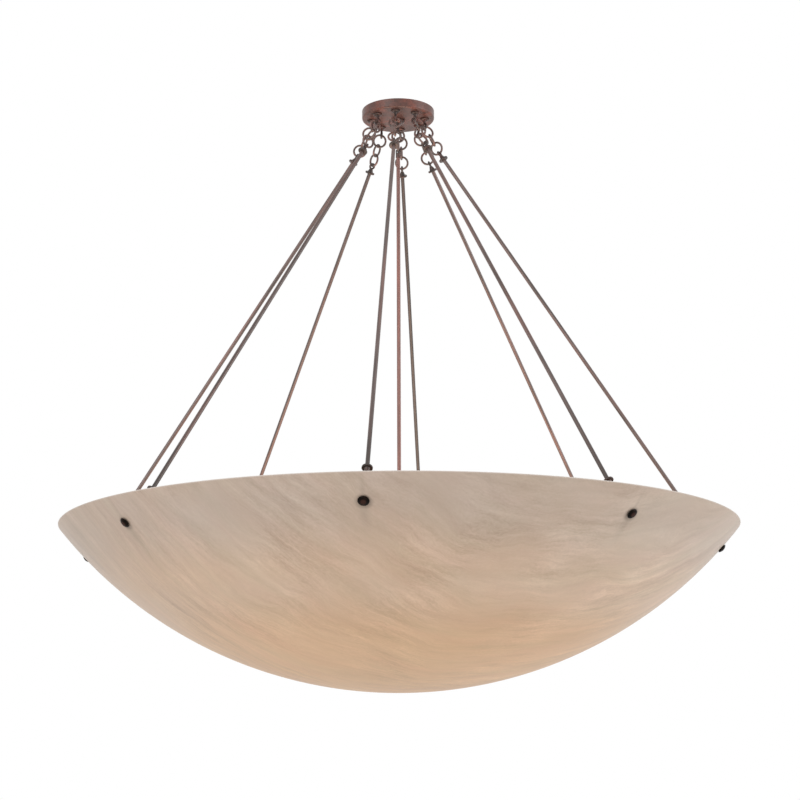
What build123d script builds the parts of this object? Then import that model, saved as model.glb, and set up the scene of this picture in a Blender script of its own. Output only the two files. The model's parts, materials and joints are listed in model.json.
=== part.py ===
from build123d import *
import math
import os

# Pendant light: a wide translucent bowl hung from a ceiling canopy by eight rods on ring chains,
# with a lamp cluster inside the bowl on a centre stem of its own.
# Millimetres, +Z up. The origin is the centre of the ceiling plane, so everything hangs below z = 0.
# The front leg lies towards -Y.

# Canopy and its fixing to the ceiling
CANOPY_DIAMETER = 154.0
CANOPY_HEIGHT = 19.0
CANOPY_WALL = 2.0
CANOPY_INNER_ROUNDING = 2.0
LOAD_PLATE_MARGIN = 6.0
LOAD_PLATE_THICKNESS = 4.0
BOX_SCREW_SPACING = 88.9
BOX_SLOT_LENGTH = 12.0
BOX_SLOT_WIDTH = 5.0
CROSSBAR_END_MARGIN = 5.55
CROSSBAR_WIDTH = 22.0
CROSSBAR_THICKNESS = 2.5
NIPPLE_DIAMETER = 10.0
NIPPLE_BORE = 7.0
NIPPLE_NUT_WALL = 3.0
NIPPLE_NUT_THICKNESS = 4.0

# Cast eyes under the canopy
LEG_NAMES = ["front", "front_right", "right", "back_right", "back", "back_left", "left", "front_left"]
EYE_INSET = 20.5
EYE_DROP = 17.5
EYE_WIRE = 4.5
EYE_HOLE_ROOM = 3.7
EYE_COLLAR_DIAMETER = 19.0
EYE_COLLAR_HEIGHT = 4.0
EYE_COLLAR_EDGE = 1.8
EYE_COLLAR_BULGE = 0.9
EYE_NECK_DIAMETER = 9.0
EYE_NECK_TIP_DIAMETER = 3.6
EYE_SHANK_DIAMETER = 6.0
EYE_SHANK_OVERRUN = 1.0
EYE_NUT_THICKNESS = 5.0
CENTRE_EYE_DROP = 23.0
CENTRE_COLLAR_DIAMETER = 28.0
CENTRE_COLLAR_HEIGHT = 9.0
CENTRE_COLLAR_EDGE = 4.0
CENTRE_COLLAR_BULGE = 1.9
CENTRE_COLLAR_FLOOR = 2.0

# Ring chains
RING_OUTER_DIAMETER = 30.0
RING_WIRE = 4.3
CHAIN_RINGS = 3
CENTRE_CHAIN_RINGS = 2
CHAIN_ANGLE = 27.0
LINK_PLAY = 0.3
SWING_PLAY = 0.5
# How far the first ring of each chain is turned about the chain, and the turn to the next ring
FIRST_RING_ROLL = {
    "front": 0.0,
    "front_right": 35.0,
    "right": -55.0,
    "back_right": 60.0,
    "back": 0.0,
    "back_left": -36.0,
    "left": 90.0,
    "front_left": 90.0,
}
RING_TURN = {
    "front": 90.0,
    "front_right": 75.0,
    "right": 58.0,
    "back_right": 80.0,
    "back": 90.0,
    "back_left": 62.0,
    "left": 90.0,
    "front_left": 90.0,
}

# Rods and their flanged loop ends
ROD_DIAMETER = 7.94
FLANGE_DIAMETER = 20.0
FLANGE_THICKNESS = 4.5
FLANGE_ROUNDING = 1.6
NECK_BASE_WALL = 2.03
NECK_TIP_DIAMETER = 6.5
NECK_LENGTH = 7.5
LOOP_WIRE = 4.0
LOOP_HOLE_ROOM = 2.3
ROD_SOCKET_DEPTH = 7.0

# Bowl: a spherical cap of even wall
BOWL_DIAMETER = 1371.6
BOWL_DEPTH = 324.3
BOWL_WALL = 6.0
BOWL_RIM_ROUNDING = 0.8
CANOPY_TO_RIM = 888.0

# Eye bolts through the bowl's wall, with a low domed knob outside
BOLT_BELOW_RIM = 44.5
BOLT_DIAMETER = 6.0
BOLT_EYE_STANDOFF = 38.0
BOLT_HOLE_CLEARANCE = 0.5
BOLT_NUT_THICKNESS = 5.0
INNER_WASHER_DIAMETER = 22.0
OUTER_WASHER_DIAMETER = 16.0
WASHER_THICKNESS = 1.0
KNOB_DIAMETER = 20.5
KNOB_SEAT_DIAMETER = 18.4
KNOB_HEIGHT = 5.2
KNOB_SKIRT = 0.9
KNOB_CROWN_WALL = 1.4
BOLT_TIP_CLEARANCE = 0.5

# Centre stem and lamp cluster
STEM_DIAMETER = 7.94
STEM_BORE = 5.5
STEM_WIRE_HOLE_DIAMETER = 4.0
STEM_WIRE_HOLE_DROP = 12.0
STEM_END_WALL = 1.28
STEM_END_FLOOR = 1.5
STEM_END_SOCKET = 7.0
STEM_HOLE_ROOM = 1.9
STEM_TANG_THICKNESS = 5.0
CLUSTER_BELOW_RIM = 25.0
LAMP_COUNT = 6
HUB_WALL = 3.0
HUB_MARGIN = 3.0
HUB_BOSS_WALL = 4.0
HUB_BOSS_HEIGHT = 12.0
COVER_THICKNESS = 3.0
COVER_LIP = 5.0
FINIAL_DIAMETER = 18.0
FINIAL_HEIGHT = 12.0
FINIAL_SKIRT = 4.0
FINIAL_CROWN_WALL = 4.0
HOLDER_WALL = 7.0
HOLDER_SPACE = 5.0
HOLDER_BASE = 20.0
HOLDER_STUB_DIAMETER = 12.0
HOLDER_STUB_LENGTH = 8.5
HOLDER_NUT_THICKNESS = 4.0
HOLDER_ROUNDING = 3.0
LAMP_CAP_DIAMETER = 26.0
LAMP_CAP_LENGTH = 24.0
LAMP_SHOULDER_DIAMETER = 30.0
LAMP_SHOULDER_LENGTH = 3.0
LAMP_GLOBE_DIAMETER = 60.0
LAMP_LENGTH = 108.0

# Shared by all nuts: the wall outside the thread, the chamfer and the trim of the corners
NUT_WALL = 2.0
NUT_CHAMFER = 1.0
NUT_CORNER_TRIM = 0.12

# Clearances, and the largest share of a wall that its rounded edge may take
RUNNING_CLEARANCE = 0.05
THREAD_CLEARANCE = 0.1
CURVED_SEAT_CLEARANCE = 0.1
ROUNDING_LIMIT = 0.45

# Points tested round a ring, and how closely its place along the chain is found
RING_SAMPLES = 180
REACH_TOLERANCE = 0.005

# Levels and radii that follow from the sizes above
UNDERSIDE_Z = -CANOPY_HEIGHT
PLATE_TOP_Z = UNDERSIDE_Z + CANOPY_WALL + LOAD_PLATE_THICKNESS
RIM_Z = UNDERSIDE_Z - CANOPY_TO_RIM
EYE_CIRCLE_RADIUS = CANOPY_DIAMETER / 2 - EYE_INSET
BOWL_SPHERE_RADIUS = ((BOWL_DIAMETER / 2) ** 2 + BOWL_DEPTH**2) / (2 * BOWL_DEPTH)
BOWL_INNER_RADIUS = BOWL_SPHERE_RADIUS - BOWL_WALL
BOWL_CENTRE_Z = RIM_Z - BOWL_DEPTH + BOWL_SPHERE_RADIUS
RING_MEAN_RADIUS = (RING_OUTER_DIAMETER - RING_WIRE) / 2
RING_PITCH = 2 * RING_MEAN_RADIUS - RING_WIRE - LINK_PLAY
EYE_HOLE = RING_WIRE + EYE_HOLE_ROOM
EYE_MEAN_RADIUS = (EYE_HOLE + EYE_WIRE) / 2
LOOP_HOLE = RING_WIRE + LOOP_HOLE_ROOM
LOOP_MEAN_RADIUS = (LOOP_HOLE + LOOP_WIRE) / 2
NIPPLE_HOLE_RADIUS = NIPPLE_DIAMETER / 2 + THREAD_CLEARANCE
SHANK_HOLE_RADIUS = EYE_SHANK_DIAMETER / 2 + THREAD_CLEARANCE
STEM_HOLE_RADIUS = STEM_DIAMETER / 2 + THREAD_CLEARANCE
CENTRE_THREAD_DEPTH = CENTRE_COLLAR_HEIGHT - CENTRE_COLLAR_FLOOR


def ring_reach(hole, play):
    """Distance from the middle of an eye's hole to the centre of the ring pulled against its edge."""
    return (hole - RING_WIRE) / 2 - play + RING_MEAN_RADIUS


# Points of one leg in its own upright plane: X is outwards and Y runs round the light.
# Each is the middle of a hole that a ring pulls through, or the centre of a ring.
AROUND = Vector(0, 1, 0)
CHAIN_DIRECTION = Vector(math.sin(math.radians(CHAIN_ANGLE)), 0, -math.cos(math.radians(CHAIN_ANGLE)))
CANOPY_EYE_POINT = Vector(EYE_CIRCLE_RADIUS, 0, UNDERSIDE_Z - EYE_DROP)
CHAIN_REACH = ring_reach(EYE_HOLE, SWING_PLAY) + (CHAIN_RINGS - 1) * RING_PITCH
LAST_RING_POINT = CANOPY_EYE_POINT + CHAIN_DIRECTION * CHAIN_REACH
ROD_TOP_POINT = LAST_RING_POINT + CHAIN_DIRECTION * ring_reach(LOOP_HOLE, LINK_PLAY)
BOLT_ANGLE = math.acos((BOWL_CENTRE_Z - RIM_Z + BOLT_BELOW_RIM) / BOWL_SPHERE_RADIUS)
BOLT_DIRECTION = Vector(math.sin(BOLT_ANGLE), 0, -math.cos(BOLT_ANGLE))
BOLT_INNER_POINT = Vector(0, 0, BOWL_CENTRE_Z) + BOLT_DIRECTION * BOWL_INNER_RADIUS
BOLT_EYE_POINT = BOLT_INNER_POINT - BOLT_DIRECTION * BOLT_EYE_STANDOFF
ROD_DIRECTION = (BOLT_EYE_POINT - ROD_TOP_POINT).normalized()
LOWER_RING_POINT = BOLT_EYE_POINT - ROD_DIRECTION * ring_reach(EYE_HOLE, SWING_PLAY)
ROD_FOOT_POINT = LOWER_RING_POINT - ROD_DIRECTION * ring_reach(LOOP_HOLE, LINK_PLAY)

# Levels on the centre line, from the canopy down to the lamp cluster
STEM_END_DIAMETER = STEM_DIAMETER + 2 * STEM_END_WALL
STEM_END_HOLE = RING_WIRE + STEM_HOLE_ROOM
STEM_END_LENGTH = STEM_END_SOCKET + STEM_END_FLOOR + STEM_END_DIAMETER
CENTRE_EYE_Z = UNDERSIDE_Z - CENTRE_EYE_DROP
CENTRE_FIRST_RING_Z = CENTRE_EYE_Z - ring_reach(EYE_HOLE, SWING_PLAY)
CENTRE_LAST_RING_Z = CENTRE_FIRST_RING_Z - (CENTRE_CHAIN_RINGS - 1) * RING_PITCH
STEM_HOLE_Z = CENTRE_LAST_RING_Z - ring_reach(STEM_END_HOLE, SWING_PLAY)
STEM_END_FOOT_Z = STEM_HOLE_Z + STEM_END_DIAMETER / 2 - STEM_END_LENGTH
HOLDER_DIAMETER = LAMP_CAP_DIAMETER + 2 * HOLDER_WALL
HOLDER_LENGTH = HOLDER_BASE + LAMP_CAP_LENGTH
HUB_HEIGHT = HOLDER_DIAMETER + 2 * HUB_MARGIN
HUB_APOTHEM = (HOLDER_DIAMETER + HOLDER_SPACE) / 2 / math.tan(math.pi / LAMP_COUNT)
HUB_Z = RIM_Z - CLUSTER_BELOW_RIM
HUB_FOOT_Z = HUB_Z - HUB_HEIGHT / 2
FINIAL_SEAT_Z = HUB_FOOT_Z - COVER_THICKNESS
FINIAL_THREAD_DEPTH = FINIAL_HEIGHT - FINIAL_CROWN_WALL


def leg_angle(name):
    """Turn about Z that brings a leg built along +X to its place round the canopy."""
    return 360 / len(LEG_NAMES) * LEG_NAMES.index(name) - 90


def on_leg(name, shape):
    """Place a shape built in the leg plane at one leg."""
    return Rot(0, 0, leg_angle(name)) * shape


def around_all(shape):
    """One copy of a leg-plane shape at every leg, as separate solids."""
    return [on_leg(name, shape) for name in LEG_NAMES]


def save(name, shapes):
    """Write one node, a single solid or a group of separate solids."""
    solids = shapes if isinstance(shapes, list) else [shapes]
    node = Compound([solid for shape in solids for solid in shape.solids()])
    export_step(node, f"parts/{name}.step")


def hex_nut(bolt_diameter, wall, thickness, plane):
    """Chamfered hexagon nut for a bolt, that sits on a plane and rises along its normal."""
    apothem = bolt_diameter / 2 + wall
    corner_radius = apothem / math.cos(math.pi / 6)
    blank = extrude(RegularPolygon(apothem, 6, major_radius=False), thickness)
    crown = Pos(0, 0, thickness / 2) * Cylinder(corner_radius - NUT_CORNER_TRIM, thickness)
    crown = chamfer(crown.edges(), min(NUT_CHAMFER, ROUNDING_LIMIT * thickness))
    hole = extrude(Circle(bolt_diameter / 2 + THREAD_CLEARANCE), thickness)
    return plane * ((blank & crown) - hole)


def domed_cap(radius, seat_radius, skirt, height, bore_radius, bore_depth):
    """Cap with a coned skirt and a spherical dome, that stands on z = 0 with a blind bore from below."""
    rise = height - skirt
    dome_radius = (radius**2 + rise**2) / (2 * rise)
    dome_z = height - dome_radius
    half_way = math.atan2(radius, skirt - dome_z) / 2
    bow = (dome_radius * math.sin(half_way), dome_z + dome_radius * math.cos(half_way))
    side = Polyline((0, height), (0, 0), (seat_radius, 0), (radius, skirt))
    dome = ThreePointArc((radius, skirt), bow, (0, height))
    cap = revolve(Plane.XZ * make_face([side, dome]), Axis.Z)
    return cap - extrude(Circle(bore_radius), bore_depth)


def ring_normal(direction, roll):
    """Normal of a ring whose plane holds the chain's direction, rolled about that direction."""
    across = direction.cross(AROUND)
    return across * math.cos(math.radians(roll)) + AROUND * math.sin(math.radians(roll))


def ring(centre, direction, roll):
    """Chain ring in its place along a chain."""
    return Plane(origin=centre, z_dir=ring_normal(direction, roll)) * Torus(RING_MEAN_RADIUS, RING_WIRE / 2)


def eye_axis(direction, roll):
    """Direction of a ring's wire where it crosses the chain's line, along which an eye's hole runs."""
    across = direction.cross(AROUND)
    return AROUND * math.cos(math.radians(roll)) - across * math.sin(math.radians(roll))


def ring_roll(name, index):
    """Roll of one ring of a leg's chain."""
    return FIRST_RING_ROLL[name] + index * RING_TURN[name]


def canopy_eye_axis(name):
    """Level direction of the hole in one canopy eye, turned to suit its first ring."""
    axis = eye_axis(CHAIN_DIRECTION, ring_roll(name, 0))
    return Vector(axis.X, axis.Y, 0).normalized()


def first_ring_gap(name, reach):
    """Least room between a canopy eye and its first ring, with the ring's centre at a reach from the hole."""
    centre = CANOPY_EYE_POINT + CHAIN_DIRECTION * reach
    sideways = ring_normal(CHAIN_DIRECTION, ring_roll(name, 0)).cross(CHAIN_DIRECTION)
    axis = canopy_eye_axis(name)
    nearest = math.inf
    for step in range(RING_SAMPLES):
        angle = 2 * math.pi * step / RING_SAMPLES
        on_ring = CHAIN_DIRECTION * math.cos(angle) + sideways * math.sin(angle)
        offset = centre + on_ring * RING_MEAN_RADIUS - CANOPY_EYE_POINT
        height = offset.dot(axis)
        to_eye = math.hypot(height, (offset - axis * height).length - EYE_MEAN_RADIUS)
        nearest = min(nearest, to_eye)
    return nearest - (RING_WIRE + EYE_WIRE) / 2


def first_ring_point(name):
    """Centre of a chain's first ring, pulled along the chain until it has its play in the eye."""
    near, far = RING_MEAN_RADIUS, RING_MEAN_RADIUS + EYE_HOLE
    while far - near > REACH_TOLERANCE:
        middle = (near + far) / 2
        if first_ring_gap(name, middle) > SWING_PLAY:
            near = middle
        else:
            far = middle
    return CANOPY_EYE_POINT + CHAIN_DIRECTION * near


def crossbar():
    """Flat bar that screws to the ceiling box, tapped for the nipple at its middle."""
    length = BOX_SCREW_SPACING + BOX_SLOT_LENGTH + 2 * CROSSBAR_END_MARGIN
    outline = SlotOverall(length, CROSSBAR_WIDTH) - Circle(NIPPLE_HOLE_RADIUS)
    for side in (-1, 1):
        outline -= Pos(side * BOX_SCREW_SPACING / 2, 0) * SlotOverall(BOX_SLOT_LENGTH, BOX_SLOT_WIDTH)
    return extrude(outline, -CROSSBAR_THICKNESS)


def nipple():
    """Threaded tube from the crossbar down into the centre eye."""
    section = Circle(NIPPLE_DIAMETER / 2) - Circle(NIPPLE_BORE / 2)
    return extrude(section, -CANOPY_HEIGHT - CENTRE_THREAD_DEPTH)


def canopy_holes():
    """Outlines of the holes for the nipple and the eyes, through the canopy and its plate."""
    holes = Circle(NIPPLE_HOLE_RADIUS)
    for place in PolarLocations(EYE_CIRCLE_RADIUS, len(LEG_NAMES)):
        holes += place * Circle(SHANK_HOLE_RADIUS)
    return holes


def load_plate():
    """Steel disc on the canopy's floor that carries the eyes."""
    radius = CANOPY_DIAMETER / 2 - CANOPY_WALL - LOAD_PLATE_MARGIN
    return Pos(0, 0, PLATE_TOP_Z) * extrude(Circle(radius) - canopy_holes(), -LOAD_PLATE_THICKNESS)


def canopy_pan():
    """Shallow spun pan, open to the ceiling, with a soft lower edge."""
    outer = Pos(0, 0, -CANOPY_HEIGHT / 2) * Cylinder(CANOPY_DIAMETER / 2, CANOPY_HEIGHT)
    outer = fillet(outer.edges().sort_by(Axis.Z)[0], CANOPY_INNER_ROUNDING + CANOPY_WALL)
    depth = CANOPY_HEIGHT - CANOPY_WALL
    hollow = Pos(0, 0, -depth / 2) * Cylinder(CANOPY_DIAMETER / 2 - CANOPY_WALL, depth)
    hollow = fillet(hollow.edges().sort_by(Axis.Z)[0], CANOPY_INNER_ROUNDING)
    return outer - hollow - extrude(canopy_holes(), -CANOPY_HEIGHT)


def turned_eye(collar_radius, collar_edge, collar_height, bulge, neck_length):
    """Domed collar with a neck that narrows down to an eye's loop, hung from the z = 0 plane."""
    neck_radius = EYE_NECK_DIAMETER / 2
    rim = Polyline((0, 0), (collar_radius, 0), (collar_radius, -collar_edge))
    dome = SagittaArc((collar_radius, -collar_edge), (neck_radius, -collar_height), bulge)
    tip = (EYE_NECK_TIP_DIAMETER / 2, -neck_length)
    neck = Polyline((neck_radius, -collar_height), tip, (0, -neck_length), (0, 0))
    return revolve(Plane.XZ * make_face([rim, dome, neck]), Axis.Z)


def eye_loop(point, axis):
    """Round loop of an eye about a point, with its hole along an axis."""
    return Plane(origin=point, z_dir=axis) * Torus(EYE_MEAN_RADIUS, EYE_WIRE / 2)


def canopy_eye(name):
    """Cast eye with a collar against the canopy and a threaded shank through the load plate."""
    neck_length = EYE_DROP - EYE_MEAN_RADIUS
    radius = EYE_COLLAR_DIAMETER / 2
    turned = turned_eye(radius, EYE_COLLAR_EDGE, EYE_COLLAR_HEIGHT, EYE_COLLAR_BULGE, neck_length)
    shank = CANOPY_WALL + LOAD_PLATE_THICKNESS + EYE_NUT_THICKNESS + EYE_SHANK_OVERRUN
    turned += extrude(Circle(EYE_SHANK_DIAMETER / 2), shank)
    loop = eye_loop(CANOPY_EYE_POINT, canopy_eye_axis(name))
    return on_leg(name, Pos(EYE_CIRCLE_RADIUS, 0, UNDERSIDE_Z) * turned + loop)


def canopy_eye_nut():
    """Nut on an eye's shank, above the load plate."""
    seat = Plane(origin=(EYE_CIRCLE_RADIUS, 0, PLATE_TOP_Z))
    return hex_nut(EYE_SHANK_DIAMETER, NUT_WALL, EYE_NUT_THICKNESS, seat)


def nipple_nut():
    """Nut on the nipple that clamps the load plate and the canopy down on the centre eye."""
    return hex_nut(NIPPLE_DIAMETER, NIPPLE_NUT_WALL, NIPPLE_NUT_THICKNESS, Plane(origin=(0, 0, PLATE_TOP_Z)))


def centre_eye():
    """Screw collar on the nipple that holds the canopy up, with an eye for the centre chain."""
    neck_length = CENTRE_EYE_DROP - EYE_MEAN_RADIUS
    radius = CENTRE_COLLAR_DIAMETER / 2
    turned = turned_eye(radius, CENTRE_COLLAR_EDGE, CENTRE_COLLAR_HEIGHT, CENTRE_COLLAR_BULGE, neck_length)
    turned -= extrude(Circle(NIPPLE_HOLE_RADIUS), -CENTRE_THREAD_DEPTH)
    return Pos(0, 0, UNDERSIDE_Z) * turned + eye_loop((0, 0, CENTRE_EYE_Z), (1, 0, 0))


def chain(name):
    """The rings between a canopy eye and the top of a rod, and the one between its foot and its bolt."""
    first = first_ring_point(name)
    rings = []
    for index in range(CHAIN_RINGS):
        centre = first + (LAST_RING_POINT - first) * (index / (CHAIN_RINGS - 1))
        rings.append(on_leg(name, ring(centre, CHAIN_DIRECTION, ring_roll(name, index))))
    rings.append(on_leg(name, ring(LOWER_RING_POINT, ROD_DIRECTION, 0)))
    return rings


def loop_end(point, direction, axis):
    """Flanged loop end of a rod: a loop round a point, a tapered neck and a disc, along a direction."""
    neck_end = LOOP_MEAN_RADIUS + NECK_LENGTH
    disc_middle = neck_end + FLANGE_THICKNESS / 2
    base_radius = ROD_DIAMETER / 2 + NECK_BASE_WALL
    neck = Polyline(
        (0, LOOP_MEAN_RADIUS),
        (NECK_TIP_DIAMETER / 2, LOOP_MEAN_RADIUS),
        (base_radius, neck_end),
        (base_radius, disc_middle),
        (0, disc_middle),
        close=True,
    )
    turned = revolve(Plane.XZ * make_face(neck), Axis.Z)
    disc = Pos(0, 0, disc_middle) * Cylinder(FLANGE_DIAMETER / 2, FLANGE_THICKNESS)
    turned += fillet(disc.edges(), min(FLANGE_ROUNDING, ROUNDING_LIMIT * FLANGE_THICKNESS))
    socket_z = neck_end + FLANGE_THICKNESS - ROD_SOCKET_DEPTH / 2
    turned -= Pos(0, 0, socket_z) * Cylinder(ROD_DIAMETER / 2 + THREAD_CLEARANCE, ROD_SOCKET_DEPTH)
    loop = Plane(origin=point, z_dir=axis) * Torus(LOOP_MEAN_RADIUS, LOOP_WIRE / 2)
    return Plane(origin=point, z_dir=direction) * turned + loop


def rod_ends(name):
    """The loop ends at the top and the foot of one rod."""
    wire_axis = eye_axis(CHAIN_DIRECTION, ring_roll(name, CHAIN_RINGS - 1))
    top_axis = wire_axis - ROD_DIRECTION * wire_axis.dot(ROD_DIRECTION)
    top = loop_end(ROD_TOP_POINT, ROD_DIRECTION, top_axis)
    foot = loop_end(ROD_FOOT_POINT, ROD_DIRECTION * -1, AROUND)
    return [on_leg(name, top), on_leg(name, foot)]


def rod(name):
    """Straight round rod seated in the sockets of its two loop ends."""
    inset = LOOP_MEAN_RADIUS + NECK_LENGTH + FLANGE_THICKNESS - ROD_SOCKET_DEPTH
    start = ROD_TOP_POINT + ROD_DIRECTION * inset
    end = ROD_FOOT_POINT - ROD_DIRECTION * inset
    section = Plane(origin=start, z_dir=ROD_DIRECTION) * Circle(ROD_DIAMETER / 2)
    return on_leg(name, extrude(section, (end - start).length))


def bowl_arc(radius):
    """Section of one face of the bowl from its lowest point up to the rim, round the sphere's centre."""
    rim_angle = math.acos((BOWL_CENTRE_Z - RIM_Z) / radius)
    half_angle = rim_angle / 2
    lowest = (0, -radius)
    half_way = (radius * math.sin(half_angle), -radius * math.cos(half_angle))
    edge = (radius * math.sin(rim_angle), RIM_Z - BOWL_CENTRE_Z)
    return ThreePointArc(lowest, half_way, edge)


def bowl():
    """Even-walled spherical cap with a rounded rim and one hole for each eye bolt."""
    outer = bowl_arc(BOWL_SPHERE_RADIUS)
    inner = bowl_arc(BOWL_INNER_RADIUS)
    profile = make_face([outer, inner, Line(outer @ 0, inner @ 0), Line(outer @ 1, inner @ 1)])
    rim_corners = profile.vertices().sort_by(Axis.Y)[-2:]
    profile = fillet(rim_corners, min(BOWL_RIM_ROUNDING, ROUNDING_LIMIT * BOWL_WALL))
    shell = Pos(0, 0, BOWL_CENTRE_Z) * revolve(Plane.XZ * profile, Axis.Z)
    hole = extrude(bolt_plane(-BOWL_WALL) * Circle(BOLT_DIAMETER / 2 + BOLT_HOLE_CLEARANCE), 3 * BOWL_WALL)
    return shell - around_all(hole)


def bolt_plane(distance):
    """Plane square to the eye bolt, at a distance outwards from the bowl's inner wall."""
    return Plane(origin=BOLT_INNER_POINT + BOLT_DIRECTION * distance, z_dir=BOLT_DIRECTION)


def inner_seat():
    """Room between a flat washer and the hollow inner wall that it spans."""
    half_width = INNER_WASHER_DIAMETER / 2
    return BOWL_INNER_RADIUS - math.sqrt(BOWL_INNER_RADIUS**2 - half_width**2) + CURVED_SEAT_CLEARANCE


def knob_seat():
    """Distance from the inner wall to the seat of the knob, outside its washer."""
    return BOWL_WALL + CURVED_SEAT_CLEARANCE + WASHER_THICKNESS


def eye_bolt():
    """Eye inside the bowl on a shank that runs out through the wall into the knob."""
    shank_start = EYE_MEAN_RADIUS - BOLT_EYE_STANDOFF
    shank_end = knob_seat() + KNOB_HEIGHT - KNOB_CROWN_WALL - BOLT_TIP_CLEARANCE
    shank = extrude(bolt_plane(shank_start) * Circle(BOLT_DIAMETER / 2), shank_end - shank_start)
    return shank + eye_loop(BOLT_EYE_POINT, AROUND)


def washer(diameter, plane):
    """Flat washer that sits on a plane, for the eye bolt."""
    outline = Circle(diameter / 2) - Circle(BOLT_DIAMETER / 2 + BOLT_HOLE_CLEARANCE)
    return extrude(plane * outline, WASHER_THICKNESS)


def inner_washer():
    """Washer between the bowl's inner wall and the nut."""
    return washer(INNER_WASHER_DIAMETER, bolt_plane(-inner_seat() - WASHER_THICKNESS))


def outer_washer():
    """Washer between the bowl's outer wall and the knob."""
    return washer(OUTER_WASHER_DIAMETER, bolt_plane(BOWL_WALL + CURVED_SEAT_CLEARANCE))


def bolt_nut():
    """Nut that draws the eye bolt up to the inner washer."""
    seat = bolt_plane(-inner_seat() - WASHER_THICKNESS - BOLT_NUT_THICKNESS)
    return hex_nut(BOLT_DIAMETER, NUT_WALL, BOLT_NUT_THICKNESS, seat)


def knob(name):
    """Domed cap nut that turns on the end of the eye bolt."""
    bore_radius = BOLT_DIAMETER / 2 + RUNNING_CLEARANCE
    bore_depth = KNOB_HEIGHT - KNOB_CROWN_WALL
    seat_radius = KNOB_SEAT_DIAMETER / 2
    cap = domed_cap(KNOB_DIAMETER / 2, seat_radius, KNOB_SKIRT, KNOB_HEIGHT, bore_radius, bore_depth)
    return on_leg(name, bolt_plane(knob_seat()) * cap)


def centre_rings():
    """The rings that carry the stem, the first one facing front and back."""
    rings = []
    for index in range(CENTRE_CHAIN_RINGS):
        centre = Vector(0, 0, CENTRE_FIRST_RING_Z - index * RING_PITCH)
        facing = (0, 1, 0) if index % 2 == 0 else (1, 0, 0)
        rings.append(Plane(origin=centre, z_dir=facing) * Torus(RING_MEAN_RADIUS, RING_WIRE / 2))
    return rings


def stem_end():
    """Slim round end of the stem, flattened above into a tang drilled for the last ring of its chain."""
    radius = STEM_END_DIAMETER / 2
    foot = extrude(Circle(radius), STEM_END_SOCKET + STEM_END_FLOOR)
    foot -= extrude(Circle(STEM_HOLE_RADIUS), STEM_END_SOCKET)
    crown = (0, STEM_TANG_THICKNESS / 2, STEM_END_LENGTH - radius)
    side = Plane(origin=crown, x_dir=(1, 0, 0), z_dir=(0, -1, 0))
    outline = Circle(radius) + Pos(0, -radius / 2) * Rectangle(STEM_END_DIAMETER, radius)
    tang = extrude(side * (outline - Circle(STEM_END_HOLE / 2)), STEM_TANG_THICKNESS)
    return Pos(0, 0, STEM_END_FOOT_Z) * (foot + (tang & extrude(Circle(radius), STEM_END_LENGTH)))


def stem_tube():
    """Tube from the stem's end down through the hub into the finial, with a wire hole at each end."""
    top_z = STEM_END_FOOT_Z + STEM_END_SOCKET
    end_z = FINIAL_SEAT_Z - FINIAL_THREAD_DEPTH
    tube = Pos(0, 0, top_z) * extrude(Circle(STEM_DIAMETER / 2) - Circle(STEM_BORE / 2), end_z - top_z)
    for hole_z in (STEM_END_FOOT_Z - STEM_WIRE_HOLE_DROP, HUB_Z):
        backwards = Plane(origin=(0, 0, hole_z), z_dir=(0, 1, 0))
        tube -= extrude(backwards * Circle(STEM_WIRE_HOLE_DIAMETER / 2), STEM_DIAMETER)
    return tube


def hub_outline(inset):
    """The cluster hub's section, one flat side to each lamp."""
    return Rot(0, 0, 180 / LAMP_COUNT) * RegularPolygon(HUB_APOTHEM - inset, LAMP_COUNT, major_radius=False)


def lamp_plane(index, distance):
    """Plane square to one lamp's axis, at a distance from the centre line."""
    angle = math.radians(360 / LAMP_COUNT * index)
    outward = Vector(math.cos(angle), math.sin(angle), 0)
    return Plane(origin=Vector(0, 0, HUB_Z) + outward * distance, z_dir=outward)


def hub():
    """Hollow cast hub, closed at the top round the stem and open below."""
    body = extrude(hub_outline(0), HUB_HEIGHT) - extrude(hub_outline(HUB_WALL), HUB_HEIGHT - HUB_WALL)
    boss = Circle(STEM_DIAMETER / 2 + HUB_BOSS_WALL)
    body += Pos(0, 0, HUB_HEIGHT) * extrude(boss, HUB_BOSS_HEIGHT)
    body -= extrude(Circle(STEM_HOLE_RADIUS), HUB_HEIGHT + HUB_BOSS_HEIGHT)
    body = Pos(0, 0, HUB_FOOT_Z) * body
    for index in range(LAMP_COUNT):
        inside = lamp_plane(index, HUB_APOTHEM - 2 * HUB_WALL)
        body -= extrude(inside * Circle(HOLDER_STUB_DIAMETER / 2 + THREAD_CLEARANCE), 3 * HUB_WALL)
    return body


def hub_cover():
    """Plate that closes the hub from below, with a lip inside its wall."""
    plate = extrude(hub_outline(0) - Circle(STEM_HOLE_RADIUS), -COVER_THICKNESS)
    lip_inset = HUB_WALL + THREAD_CLEARANCE
    lip = extrude(hub_outline(lip_inset) - hub_outline(lip_inset + COVER_THICKNESS), COVER_LIP)
    return Pos(0, 0, HUB_FOOT_Z) * (plate + lip)


def finial():
    """Domed cap nut on the stem's lower end that holds the hub's cover up."""
    radius = FINIAL_DIAMETER / 2
    cap = domed_cap(radius, radius, FINIAL_SKIRT, FINIAL_HEIGHT, STEM_HOLE_RADIUS, FINIAL_THREAD_DEPTH)
    return Plane(origin=(0, 0, FINIAL_SEAT_Z), z_dir=(0, 0, -1)) * cap


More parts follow.
